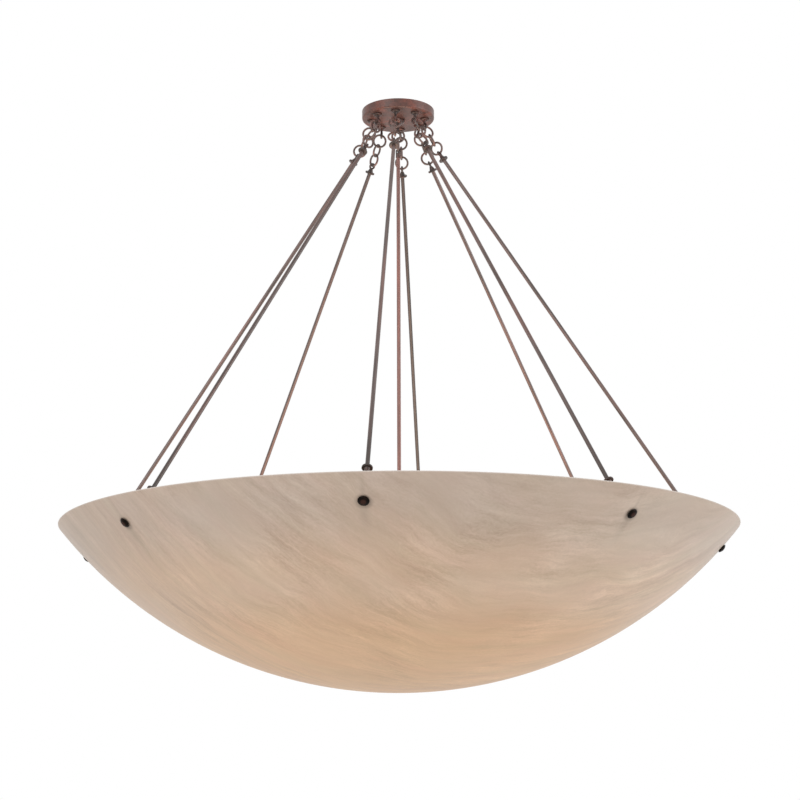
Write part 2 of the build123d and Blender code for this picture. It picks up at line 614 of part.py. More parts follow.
def lampholder(index):
    """Round lampholder on the hub's side, with a threaded stub through the hub's wall."""
    cup = extrude(Circle(HOLDER_DIAMETER / 2), HOLDER_LENGTH)
    cup = fillet(cup.edges().sort_by(Axis.Z)[0], HOLDER_ROUNDING)
    socket = extrude(Circle(LAMP_CAP_DIAMETER / 2 + RUNNING_CLEARANCE), LAMP_CAP_LENGTH)
    cup -= Pos(0, 0, HOLDER_BASE) * socket
    cup += extrude(Circle(HOLDER_STUB_DIAMETER / 2), -HOLDER_STUB_LENGTH)
    return lamp_plane(index, HUB_APOTHEM) * cup


def holder_nut(index):
    """Nut on a lampholder's stub, inside the hub."""
    seat = lamp_plane(index, HUB_APOTHEM - HUB_WALL - HOLDER_NUT_THICKNESS)
    return hex_nut(HOLDER_STUB_DIAMETER, NUT_WALL, HOLDER_NUT_THICKNESS, seat)


def lamp(index):
    """Pear-shaped lamp: a round cap, a shoulder and a neck that widens into a globe."""
    cap_radius = LAMP_CAP_DIAMETER / 2
    shoulder = LAMP_SHOULDER_DIAMETER / 2
    globe = LAMP_GLOBE_DIAMETER / 2
    globe_z = LAMP_LENGTH - globe
    neck_z = LAMP_CAP_LENGTH + LAMP_SHOULDER_LENGTH
    to_centre = math.hypot(globe_z - neck_z, shoulder)
    lean = math.asin(globe / to_centre) - math.asin(shoulder / to_centre)
    touch = (globe * math.cos(lean), globe_z - globe * math.sin(lean))
    bow = (globe * math.cos(math.pi / 4), globe_z + globe * math.sin(math.pi / 4))
    base = Polyline((0, 0), (cap_radius, 0), (cap_radius, LAMP_CAP_LENGTH), (shoulder, neck_z), touch)
    dome = ThreePointArc(touch, bow, (0, LAMP_LENGTH))
    middle = Line((0, LAMP_LENGTH), (0, 0))
    solid = revolve(Plane.XZ * make_face([base, dome, middle]), Axis.Z)
    return lamp_plane(index, HUB_APOTHEM + HOLDER_BASE) * solid


os.makedirs("parts", exist_ok=True)

save("ceiling_crossbar", crossbar())
save("hanging_nipple", nipple())
save("nipple_nut", nipple_nut())
save("load_plate", load_plate())
save("canopy_pan", canopy_pan())
save("canopy_eyes", [canopy_eye(name) for name in LEG_NAMES])
save("canopy_eye_nuts", around_all(canopy_eye_nut()))
save("centre_eye", centre_eye())

for leg in LEG_NAMES:
    save(f"{leg}_chain", chain(leg))
    save(f"{leg}_rod_ends", rod_ends(leg))
    save(f"{leg}_rod", rod(leg))
    save(f"{leg}_knob", knob(leg))

save("bowl", bowl())
save("bowl_eye_bolts", around_all(eye_bolt()))
save("bowl_bolt_nuts", around_all(bolt_nut()))
save("bowl_inner_washers", around_all(inner_washer()))
save("bowl_outer_washers", around_all(outer_washer()))

save("centre_rings", centre_rings())
save("stem_end", stem_end())
save("stem_tube", stem_tube())
save("cluster_hub", hub())
save("cluster_cover", hub_cover())
save("cluster_finial", finial())
save("lampholders", [lampholder(index) for index in range(LAMP_COUNT)])
save("lampholder_nuts", [holder_nut(index) for index in range(LAMP_COUNT)])
for lamp_index in range(LAMP_COUNT):
    save(f"lamp_{lamp_index + 1}", lamp(lamp_index))

print("canopy eye", CANOPY_EYE_POINT, "rod top", ROD_TOP_POINT, "rod foot", ROD_FOOT_POINT)
print("rod direction", ROD_DIRECTION, "bolt eye", BOLT_EYE_POINT, "bolt direction", BOLT_DIRECTION)
print("centre eye z", CENTRE_EYE_Z, "stem hole z", STEM_HOLE_Z, "hub z", HUB_Z, "rim z", RIM_Z)
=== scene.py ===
"""Pendant light: a marbled bowl on eight rubbed-bronze rods, dressed and lit for one studio picture.

Lengths are in metres, and z = 0 is the ceiling.
"""

import json
import logging
import math
from collections.abc import Sequence
from dataclasses import dataclass
from enum import Enum
from typing import Any

import bmesh
import bpy
import numpy as np
from bpy.types import Material, Mesh, Node, NodeSocket, NodeTree, Object
from mathutils import Matrix, Vector


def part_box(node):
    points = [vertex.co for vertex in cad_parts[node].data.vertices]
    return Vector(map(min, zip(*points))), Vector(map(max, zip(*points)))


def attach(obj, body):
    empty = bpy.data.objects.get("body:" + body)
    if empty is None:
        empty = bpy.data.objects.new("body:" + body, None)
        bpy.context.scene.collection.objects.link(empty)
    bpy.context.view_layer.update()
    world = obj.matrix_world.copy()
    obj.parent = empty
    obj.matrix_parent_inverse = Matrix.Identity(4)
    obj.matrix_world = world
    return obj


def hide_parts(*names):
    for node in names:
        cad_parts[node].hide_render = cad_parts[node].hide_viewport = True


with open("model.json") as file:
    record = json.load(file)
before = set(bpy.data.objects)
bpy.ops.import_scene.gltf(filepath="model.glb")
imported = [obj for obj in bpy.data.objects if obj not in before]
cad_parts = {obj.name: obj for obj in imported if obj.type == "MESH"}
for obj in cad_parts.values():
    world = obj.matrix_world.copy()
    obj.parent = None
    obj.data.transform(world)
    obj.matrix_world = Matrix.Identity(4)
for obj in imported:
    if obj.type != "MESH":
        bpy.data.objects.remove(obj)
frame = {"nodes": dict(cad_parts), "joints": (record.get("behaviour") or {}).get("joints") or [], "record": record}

LOG = logging.getLogger("pendant_light")
LEGS = ("front", "front_right", "right", "back_right", "back", "back_left", "left", "front_left")
LAMP_COUNT = 6
MERGE_DISTANCE = 1e-5
SEED = 11
HALF = 0.5
QUARTER_TURN = math.pi / 2
FULL_TURN = 2 * math.pi
FACING = "facing"
# Attribute of the rods' darkening: painted shade at the feet, or darker all along.
FOOT_SHADE = "foot_shade"
SHEET_MAP = "sheet"
ROD_SPACE = "rod_space"

Colour = tuple[float, float, float]
Place = tuple[float, float, float]
WHITE: Colour = (1.0, 1.0, 1.0)


class Slot(Enum):
    """Material slots of the record, one for each finish."""

    CANOPY = "canopy_bronze"
    ROD = "rod_bronze"
    KNOB = "knob_dark_bronze"
    STEEL = "zinc_steel"
    EYE_BOLT = "eye_bolt_bronze"
    RUBBER = "washer_rubber"
    BOWL = "bowl_acrylic"
    CLUSTER = "cluster_paint"
    HOLDER = "lampholder_ceramic"
    LAMP = "lamp_opal"


class Kind(Enum):
    """Kinds of socket on the node groups and geometry trees."""

    NUMBER = "NodeSocketFloat"
    COUNT = "NodeSocketInt"
    VECTOR = "NodeSocketVector"
    COLOUR = "NodeSocketColor"
    SHAPE = "NodeSocketGeometry"
    MATERIAL = "NodeSocketMaterial"

    def named(self, *names: str) -> dict[str, "Kind"]:
        """Sockets of this kind, by name."""
        return dict.fromkeys(names, self)


@dataclass(frozen=True)
class Cloud:
    """A noise, and the range of it that goes from none to all of a cloud."""

    detail: float
    roughness: float = 0.5
    span: tuple[float, float] = (0.3, 0.7)


RUDDY_CLOUD = Cloud(detail=4.0, span=(0.42, 0.66))
DARK_CLOUD = Cloud(detail=5.0, roughness=0.6, span=(0.44, 0.68))
DARK_CLOUD_SCALE = 1.7
DARK_CLOUD_SHIFT: Place = (7.3, 2.1, 4.7)
SPECKLE = Cloud(detail=3.0, roughness=0.7)
SPECKLE_TONES = (0.86, 1.14)
SPECKLE_ROUGHNESS = 0.3
GRAIN = Cloud(detail=4.0, roughness=0.6)
STREAK = Cloud(detail=5.0, roughness=0.62)
WANDER = Cloud(detail=2.0)
CALM = Cloud(detail=2.0, span=(0.36, 0.64))


class Graph:
    """A node tree that is filled one node at a time."""

    # Sockets that share their names with hidden ones of other types, so they go by number.
    MIX_INPUTS = (0, 6, 7)
    MIXED = 2
    RANDOM_RANGE = (2, 3)
    RANDOM = 1

    def __init__(self, tree: NodeTree) -> None:
        """Keep the tree that the nodes go into."""
        self.tree = tree

    def node(self, kind: str, inputs: dict[str | int, Any] | None = None, **settings: Any) -> Node:
        """Add one node.

        Args:
            kind: Blender's name for the type of node.
            inputs: Values, or sockets to link from, by the input's name or number.
            settings: Properties of the node itself.

        Returns:
            The new node.
        """
        node = self.tree.nodes.new(kind)
        for name, value in settings.items():
            setattr(node, name, value)
        for key, value in (inputs or {}).items():
            self.feed(node.inputs[key], value)
        return node

    def first(self, kind: str, inputs: dict[str | int, Any] | None = None, **settings: Any) -> NodeSocket:
        """First output of a new node, made from the same arguments as node() takes."""
        return self.node(kind, inputs, **settings).outputs[0]

    def feed(self, socket: NodeSocket, value: Any) -> None:
        """Link a socket from another one, or give it a plain value.

        Args:
            socket: The input to fill.
            value: A socket, a colour of three numbers, or any other plain value.
        """
        if isinstance(value, NodeSocket):
            self.tree.links.new(value, socket)
        elif isinstance(value, tuple) and socket.type == "RGBA":
            socket.default_value = (*value, 1.0)
        else:
            socket.default_value = value

    def math(self, operation: str, first: Any, second: Any = 0.0) -> NodeSocket:
        """Result of one sum on two numbers."""
        return self.first("ShaderNodeMath", {0: first, 1: second}, operation=operation)

    def plus(self, first: Any, second: Any) -> NodeSocket:
        """Two numbers added."""
        return self.math("ADD", first, second)

    def minus(self, first: Any, second: Any) -> NodeSocket:
        """The second number taken from the first."""
        return self.math("SUBTRACT", first, second)

    def times(self, first: Any, second: Any) -> NodeSocket:
        """Two numbers multiplied."""
        return self.math("MULTIPLY", first, second)

    def over(self, first: Any, second: Any) -> NodeSocket:
        """The first number divided by the second."""
        return self.math("DIVIDE", first, second)

    def distance(self, first: Any, second: Any) -> NodeSocket:
        """Straight distance over two steps at right angles."""
        squares = [self.math("POWER", value, 2.0) for value in (first, second)]
        return self.math("SQRT", self.plus(*squares))

    def noise(self, place: Any, cloud: Cloud, scale: Any = 1.0) -> NodeSocket:
        """Smooth noise from 0 to 1 at a place."""
        inputs = {"Vector": place, "Scale": scale, "Detail": cloud.detail, "Roughness": cloud.roughness}
        return self.first("ShaderNodeTexNoise", inputs)

    def remap(self, value: Any, low: Any, high: Any, to_low: Any = 0.0, to_high: Any = 1.0) -> NodeSocket:
        """Smooth step of a value from one range to another, held at both ends."""
        inputs = {"Value": value, "From Min": low, "From Max": high, "To Min": to_low, "To Max": to_high}
        return self.first("ShaderNodeMapRange", inputs, interpolation_type="SMOOTHSTEP")

    def mix(self, factor: Any, first: Any, second: Any, blend: str = "MIX") -> NodeSocket:
        """Blend of two colours."""
        inputs = dict(zip(self.MIX_INPUTS, (factor, first, second)))
        return self.node("ShaderNodeMix", inputs, data_type="RGBA", blend_type=blend).outputs[self.MIXED]

    def toned(self, colour: Any, tone: Any) -> NodeSocket:
        """A colour made darker or paler by one number."""
        grey = self.first("ShaderNodeCombineColor", {0: tone, 1: tone, 2: tone})
        return self.mix(1.0, colour, grey, "MULTIPLY")

    def tinted(self, colour: Any, mask: Any, contrast: Colour) -> NodeSocket:
        """A colour whose red, green and blue follow a mask round 0, each as far as the contrast says."""
        tint = self.vector_math("MULTIPLY_ADD", mask, contrast, WHITE)
        return self.mix(1.0, colour, tint, "MULTIPLY")

    def vector(self, x: Any, y: Any = 0.0, z: Any = 0.0) -> NodeSocket:
        """A place from its three numbers."""
        return self.first("ShaderNodeCombineXYZ", {0: x, 1: y, 2: z})

    def split(self, place: Any) -> tuple[NodeSocket, ...]:
        """The three numbers of a place."""
        return tuple(self.node("ShaderNodeSeparateXYZ", {0: place}).outputs)

    def vector_math(self, operation: str, *vectors: Any) -> NodeSocket:
        """Vector that one sum on others gives."""
        return self.first("ShaderNodeVectorMath", dict(enumerate(vectors)), operation=operation)

    def stretched(self, place: Any, scale: Place) -> NodeSocket:
        """A place with each of its axes scaled."""
        return self.first("ShaderNodeMapping", {"Vector": place, "Scale": scale})

    def object_place(self) -> NodeSocket:
        """Object coordinates of a piece."""
        return self.node("ShaderNodeTexCoord").outputs["Object"]

    def attribute(self, name: str, output: str) -> NodeSocket:
        """One output of a named attribute."""
        return self.node("ShaderNodeAttribute", attribute_name=name).outputs[output]

    def bump(self, height: Any, strength: float, depth: float) -> NodeSocket:
        """Normals of a fine relief."""
        return self.first("ShaderNodeBump", {"Height": height, "Strength": strength, "Distance": depth})

    def principled(self, inputs: dict[str, Any]) -> NodeSocket:
        """A Principled shader with the inputs given."""
        return self.first("ShaderNodeBsdfPrincipled", inputs)

    def end(self, shader: NodeSocket) -> None:
        """End a material in a shader."""
        self.node("ShaderNodeOutputMaterial", {"Surface": shader})

    def seen_rays(self) -> NodeSocket:
        """Mask of the rays that show the surroundings to the eye, in a mirror or through glass.

        Returns:
            1 for such a ray, and else 0.
        """
        path = self.node("ShaderNodeLightPath").outputs
        seen = self.math("MAXIMUM", path["Is Camera Ray"], path["Is Glossy Ray"])
        return self.math("MAXIMUM", seen, path["Is Transmission Ray"])


class Group(Graph):
    """A node group with named sockets."""

    def __init__(
        self, name: str, inputs: dict[str, Kind], outputs: dict[str, Kind], kind: str = "ShaderNodeTree"
    ) -> None:
        """Start the group.

        Args:
            name: Name of the group.
            inputs: Kind of each named input.
            outputs: Kind of each named output.
            kind: Blender's name for the type of tree.
        """
        super().__init__(bpy.data.node_groups.new(name, kind))
        for side, sockets in (("INPUT", inputs), ("OUTPUT", outputs)):
            for label, socket in sockets.items():
                self.tree.interface.new_socket(name=label, in_out=side, socket_type=socket.value)
        self.given = self.node("NodeGroupInput").outputs
        self.result = self.node("NodeGroupOutput").inputs

    def __getitem__(self, label: str) -> NodeSocket:
        """What the group is given under a name."""
        return self.given[label]

    def put_out(self, label: str, value: NodeSocket) -> None:
        """Put a value out of the group under its name."""
        self.feed(self.result[label], value)


def patina_group() -> NodeTree:
    """Rubbed patina: ruddy and dark clouds on a base colour, with a fine speckle.

    Returns:
        The group, which puts out a colour, a roughness and a height.
    """
    colours = Kind.COLOUR.named("Base", "Ruddy", "Dark")
    numbers = Kind.NUMBER.named("Ruddy Share", "Dark Share", "Speckle Scale", "Roughness")
    outputs = Kind.COLOUR.named("Color") | Kind.NUMBER.named("Roughness", "Height")
    group = Group("rubbed_patina", Kind.VECTOR.named("Vector") | colours | numbers, outputs)
    place = group["Vector"]
    ruddy_noise = group.noise(place, RUDDY_CLOUD)
    ruddy = group.remap(ruddy_noise, *RUDDY_CLOUD.span, 0.0, group["Ruddy Share"])
    moved = group.vector_math("ADD", place, DARK_CLOUD_SHIFT)
    dark_noise = group.noise(moved, DARK_CLOUD, DARK_CLOUD_SCALE)
    dark = group.remap(dark_noise, *DARK_CLOUD.span, 0.0, group["Dark Share"])
    rubbed = group.mix(ruddy, group["Base"], group["Ruddy"])
    aged = group.mix(dark, rubbed, group["Dark"])
    speckle = group.noise(place, SPECKLE, group["Speckle Scale"])
    group.put_out("Color", group.toned(aged, group.remap(speckle, *SPECKLE.span, *SPECKLE_TONES)))
    uneven = group.times(group.minus(speckle, HALF), SPECKLE_ROUGHNESS)
    group.put_out("Roughness", group.plus(group["Roughness"], uneven))
    group.put_out("Height", speckle)
    return group.tree


def streak_group() -> NodeTree:
    """Streaks that run along the first axis of a flat place, at one width and length.

    Returns:
        The group, which puts out one value round 0.5.
    """
    inputs = Kind.NUMBER.named("Along", "Across", "Length", "Width", "Seed")
    group = Group("streak_layer", inputs, Kind.NUMBER.named("Value"))
    along = group.over(group["Along"], group["Length"])
    across = group.over(group["Across"], group["Width"])
    group.put_out("Value", group.noise(group.vector(along, across, group["Seed"]), STREAK))
    return group.tree


def grain_group() -> NodeTree:
    """Fine uneven surface shared by the plain finishes: a shade and a height.

    Returns:
        The group, which puts out a colour near the one given, and a height.
    """
    inputs = Kind.VECTOR.named("Vector") | Kind.COLOUR.named("Color") | Kind.NUMBER.named("Scale", "Depth")
    outputs = Kind.COLOUR.named("Color") | Kind.NUMBER.named("Height")
    group = Group("fine_grain", inputs, outputs)
    grain = group.noise(group["Vector"], GRAIN, group["Scale"])
    tone = group.remap(grain, *GRAIN.span, group.minus(1.0, group["Depth"]), 1.0)
    group.put_out("Color", group.toned(group["Color"], tone))
    group.put_out("Height", grain)
    return group.tree


def new_material(name: str) -> tuple[Material, Graph]:
    """Start an empty material.

    Args:
        name: Name of the material.

    Returns:
        The material and its graph.
    """
    material = bpy.data.materials.new(name)
    material.use_nodes = True
    material.node_tree.nodes.clear()
    return material, Graph(material.node_tree)


@dataclass(frozen=True)
class Bronze:
    """Rubbed bronze paint: three colours, how far the clouds go, and the gloss."""

    base: Colour
    ruddy: Colour
    dark: Colour
    ruddy_share: float = 0.75
    dark_share: float = 0.6
    cloud_scale: Place = (70.0, 70.0, 70.0)
    speckle_scale: float = 9.0
    roughness: float = 0.38
    metallic: float = 0.3
    specular: float = 0.5
    bump: float = 0.15
    bump_depth: float = 0.0004
    attribute: str = ""
    shade_attribute: str = ""

    def material(self, name: str, patina: NodeTree) -> Material:
        """Build the finish.

        Args:
            name: Name of the material.
            patina: The shared patina group.

        Returns:
            The material.
        """
        material, graph = new_material(name)
        place = graph.attribute(self.attribute, "Vector") if self.attribute else graph.object_place()
        clouded = graph.node("ShaderNodeGroup", {
            "Vector": graph.stretched(place, self.cloud_scale),
            "Base": self.base,
            "Ruddy": self.ruddy,
            "Dark": self.dark,
            "Ruddy Share": self.ruddy_share,
            "Dark Share": self.dark_share,
            "Speckle Scale": self.speckle_scale,
            "Roughness": self.roughness,
        }, node_tree=patina).outputs
        graph.end(graph.principled({
            "Base Color": self.shaded(graph, clouded["Color"]),
            "Roughness": clouded["Roughness"],
            "Normal": graph.bump(clouded["Height"], self.bump, self.bump_depth),
            "Metallic": self.metallic,
            "Specular IOR Level": self.specular,
        }))
        return material

    def shaded(self, graph: Graph, colour: NodeSocket) -> NodeSocket:
        """The patina's colour, darker where the piece's shade attribute asks for it: painted shade at the front
        rods' feet, and some rods darker all along.

        Args:
            graph: The material's graph.
            colour: The patina's colour.

        Returns:
            The colour that the shader gets.
        """
        if not self.shade_attribute:
            return colour
        return graph.mix(graph.attribute(self.shade_attribute, "Fac"), colour, self.dark)


@dataclass(frozen=True)
class HighlightedKnobBronze(Bronze):
    """Near-black paint of the knobs, with a painted ruddy highlight at their crowns."""

    # Painted highlight colour on each knob's crown.
    crown_highlight: Colour = (0.042, 0.018, 0.013)
    crown_start: float = 0.0048
    crown_end: float = 0.0062

    def shaded(self, graph: Graph, colour: NodeSocket) -> NodeSocket:
        """The patina's colour, with a painted ruddy highlight near the top of each knob.

        Args:
            graph: The material's graph.
            colour: The patina's colour.

        Returns:
            The colour that the shader gets.
        """
        wall, axis = knob_lines()[0]
        x, y, z = graph.split(graph.object_place())
        outwards = graph.times(graph.minus(graph.distance(x, y), wall.xy.length), axis.xy.length)
        upwards = graph.times(graph.minus(z, wall.z), axis.z)
        crown = graph.remap(graph.plus(outwards, upwards), self.crown_start, self.crown_end)
        # Painted highlight: the crown is mixed towards a ruddy colour.
        return graph.mix(crown, colour, self.crown_highlight)


@dataclass(frozen=True)
class PlainFinish:
    """A plain finish with a fine grain: paint, plate, rubber, ceramic or opal."""

    colour: Colour
    roughness: float
    grain_scale: float
    grain_depth: float
    metallic: float = 0.0
    coat: float = 0.0
    bump: float = 0.2
    bump_depth: float = 0.0002

    def material(self, name: str, grain: NodeTree) -> Material:
        """Build the finish.

        Args:
            name: Name of the material.
            grain: The shared grain group.

        Returns:
            The material.
        """
        material, graph = new_material(name)
        grained = graph.node("ShaderNodeGroup", {
            "Vector": graph.object_place(),
            "Color": self.colour,
            "Scale": self.grain_scale,
            "Depth": self.grain_depth,
        }, node_tree=grain).outputs
        graph.end(graph.principled({
            "Base Color": grained["Color"],
            "Normal": graph.bump(grained["Height"], self.bump, self.bump_depth),
            "Roughness": self.roughness,
            "Metallic": self.metallic,
            "Coat Weight": self.coat,
        }))
        return material


@dataclass(frozen=True)
class StreakLayer:
    """One size of streak in the bowl's sheet: how long and wide it is, and its share of the marbling."""

    length: float
    width: float
    seed: float
    weight: float = 1.0


@dataclass(frozen=True)
class Wander:
    """One way in which the streaks bend: how often along and across the sheet, and how far."""

    along: float
    across: float
    reach: float


@dataclass(frozen=True)
class MarbledAcrylic:
    """The bowl's moulded sheet: a tone painted warmer towards the bottom as a glow of the lit lamps, with wispy
    streaks of several sizes, painted shadows of the hardware and a painted highlight on the rim.

    Drops are shares of the way from the rim down to the foot.
    """

    # Tones from the rim down; the warmer, brighter lower ones are a painted glow of the lit lamps.
    rim: Colour = (0.492, 0.381, 0.304)
    middle: Colour = (0.606, 0.436, 0.315)
    middle_drop: float = 0.45
    belly_glow: Colour = (0.668, 0.420, 0.246)
    belly_glow_drop: float = 0.48
    roughness: float = 0.42
    roughness_change: float = 0.3
    specular: float = 0.35
    bump: float = 0.1
    bump_depth: float = 0.0004
    layers: tuple[StreakLayer, ...] = (
        StreakLayer(length=0.42, width=0.110, seed=1.0, weight=0.27),
        StreakLayer(length=0.20, width=0.040, seed=3.0, weight=0.38),
        StreakLayer(length=0.12, width=0.018, seed=5.0, weight=0.39),
        StreakLayer(length=0.055, width=0.0090, seed=7.0, weight=0.22),
        StreakLayer(length=0.022, width=0.0045, seed=9.0, weight=0.16),
        StreakLayer(length=0.007, width=0.0034, seed=13.0, weight=0.26),
    )
    contrast: Colour = (1.14, 1.27, 1.42)
    calm_scale: float = 5.0
    calm_range: tuple[float, float] = (0.45, 1.35)
    rim_calm: float = 0.72
    rim_calm_drop: float = 0.3
    # Painted highlight: the top of the rim is paler, where light shines through the sheet's edge.
    edge: Colour = (0.70, 0.63, 0.58)
    rim_highlight_height: float = 0.0034
    blush: StreakLayer = StreakLayer(length=0.30, width=0.050, seed=21.0)
    blush_contrast: Colour = (0.08, -0.06, 0.02)
    coolness: StreakLayer = StreakLayer(length=0.50, width=0.34, seed=50.1)
    coolness_contrast: Colour = (0.14, 0.34, 0.56)
    wanders: tuple[Wander, ...] = (
        Wander(along=1.6, across=2.6, reach=0.17),
        Wander(along=5.0, across=7.0, reach=0.060),
        Wander(along=13.0, across=16.0, reach=0.018),
        Wander(along=45.0, across=55.0, reach=0.0065),
    )
    # Painted shadows: a line up from each knob, a shadow below it and a contact shadow round it.
    shadow: Colour = (0.20, 0.155, 0.12)
    line_spread: float = 0.009
    line_strength: float = 0.17
    line_start: float = 0.014
    line_at_rim: float = 0.3
    lower_shadow_spread: float = 0.022
    lower_shadow_strength: float = 0.25
    lower_shadow_length: float = 0.062
    contact_shadow_strength: float = 0.55
    contact_shadow_start: float = 0.0100
    contact_shadow_end: float = 0.0190
    contact_shadow_drop: float = 0.0016

    def bent_sheet(self, graph: Graph) -> tuple[NodeSocket, NodeSocket]:
        """Place on the flat sheet, with its streaks bent by slow and quick noise.

        Args:
            graph: The material's graph.

        Returns:
            The distance along the streaks and the distance across them.
        """
        sheet = graph.first("ShaderNodeUVMap", uv_map=SHEET_MAP)
        along, across, _ = graph.split(sheet)
        for wander in self.wanders:
            bend = graph.noise(graph.stretched(sheet, (wander.along, wander.across, 1.0)), WANDER)
            across = graph.plus(across, graph.times(graph.minus(bend, HALF), wander.reach))
        return along, across

    def streaks(
        self, graph: Graph, group: NodeTree, sheet: tuple[NodeSocket, NodeSocket], *layers: StreakLayer
    ) -> NodeSocket:
        """Weighted sum of several sizes of streak.

        Args:
            graph: The material's graph.
            group: The shared streak group.
            sheet: Distance along the streaks and across them.
            layers: The sizes of streak.

        Returns:
            A value round 0, above it where the sheet is pale.
        """
        total: Any = 0.0
        for layer in layers:
            value = graph.first("ShaderNodeGroup", {
                "Along": sheet[0],
                "Across": sheet[1],
                "Length": layer.length,
                "Width": layer.width,
                "Seed": layer.seed,
            }, node_tree=group)
            total = graph.plus(total, graph.times(graph.minus(value, HALF), layer.weight))
        return total

    def hardware_shadow(self, graph: Graph, place: tuple[NodeSocket, ...], rim_z: float) -> NodeSocket:
        """Painted faint shadow of the rods and eye bolts, seen through the wall, and a painted contact shadow
        round each knob.

        Args:
            graph: The material's graph.
            place: The three object coordinates.
            rim_z: Level of the bowl's rim.

        Returns:
            The share of shadow.
        """
        x, y, height = place
        low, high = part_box("bowl_outer_washers")
        knob_z = (low[2] + high[2]) / 2
        line_z = knob_z + self.line_start
        turn = graph.math("ARCTAN2", y, x)
        step = FULL_TURN / len(LEGS)
        nearest = graph.times(graph.math("ROUND", graph.over(turn, step)), step)
        sideways = graph.math("ABSOLUTE", graph.minus(turn, nearest))
        # Painted shadow line up from each knob.
        line = graph.remap(sideways, 0.0, self.line_spread, self.line_strength, 0.0)
        above = graph.remap(height, knob_z, line_z)
        fading = graph.remap(height, line_z, rim_z, 1.0, self.line_at_rim)
        upper = graph.times(line, graph.times(above, fading))
        # Painted shadow below each knob.
        lower_shadow = graph.remap(sideways, 0.0, self.lower_shadow_spread, self.lower_shadow_strength, 0.0)
        below = graph.remap(height, knob_z - self.lower_shadow_length, knob_z)
        under = graph.remap(height, knob_z, line_z, 1.0, 0.0)
        lower = graph.times(lower_shadow, graph.times(below, under))
        # Painted contact shadow round each knob.
        wall, axis = knob_lines()[0]
        aside = graph.times(sideways, wall.xy.length)
        along = graph.over(graph.minus(height, knob_z - self.contact_shadow_drop), axis.xy.length)
        away = graph.distance(aside, along)
        contact_shadow = graph.remap(away, self.contact_shadow_start, self.contact_shadow_end, self.contact_shadow_strength, 0.0)
        return graph.math("MAXIMUM", contact_shadow, graph.plus(upper, lower))

    def material(self, name: str, group: NodeTree) -> Material:
        """Build the finish.

        Args:
            name: Name of the material.
            group: The shared streak group.

        Returns:
            The material.
        """
        material, graph = new_material(name)
        low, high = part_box("bowl")
        sheet = self.bent_sheet(graph)
        place = graph.split(graph.object_place())
        drop = graph.remap(place[2], high[2], low[2])
        # Painted glow: the tone grows warmer and brighter from the rim down to the belly, as the lit lamps shine
        # through.
        upper = graph.mix(graph.remap(drop, 0.0, self.middle_drop), self.rim, self.middle)
        tone = graph.mix(graph.remap(drop, self.belly_glow_drop, 1.0), upper, self.belly_glow)
        calm_noise = graph.noise(graph.vector(*sheet), CALM, self.calm_scale)
        calm = graph.remap(calm_noise, *CALM.span, *self.calm_range)
        calm = graph.times(calm, graph.remap(drop, 0.0, self.rim_calm_drop, self.rim_calm, 1.0))
        marbling = graph.times(self.streaks(graph, group, sheet, *self.layers), calm)
        tone = graph.tinted(tone, marbling, self.contrast)
        for layer, contrast in ((self.blush, self.blush_contrast), (self.coolness, self.coolness_contrast)):
            tone = graph.tinted(tone, self.streaks(graph, group, sheet, layer), contrast)
        # Painted highlight along the top of the rim.
        tone = graph.mix(graph.remap(place[2], high[2] - self.rim_highlight_height, high[2]), tone, self.edge)
        # Painted shadows of the hardware and round the knobs darken the tone.
        shade = self.hardware_shadow(graph, place, high[2])
        graph.end(graph.principled({
            "Base Color": graph.mix(shade, tone, self.shadow),
            "Roughness": graph.plus(graph.times(marbling, self.roughness_change), self.roughness),
            "Normal": graph.bump(marbling, self.bump, self.bump_depth),
            "Specular IOR Level": self.specular,
        }))
        return material


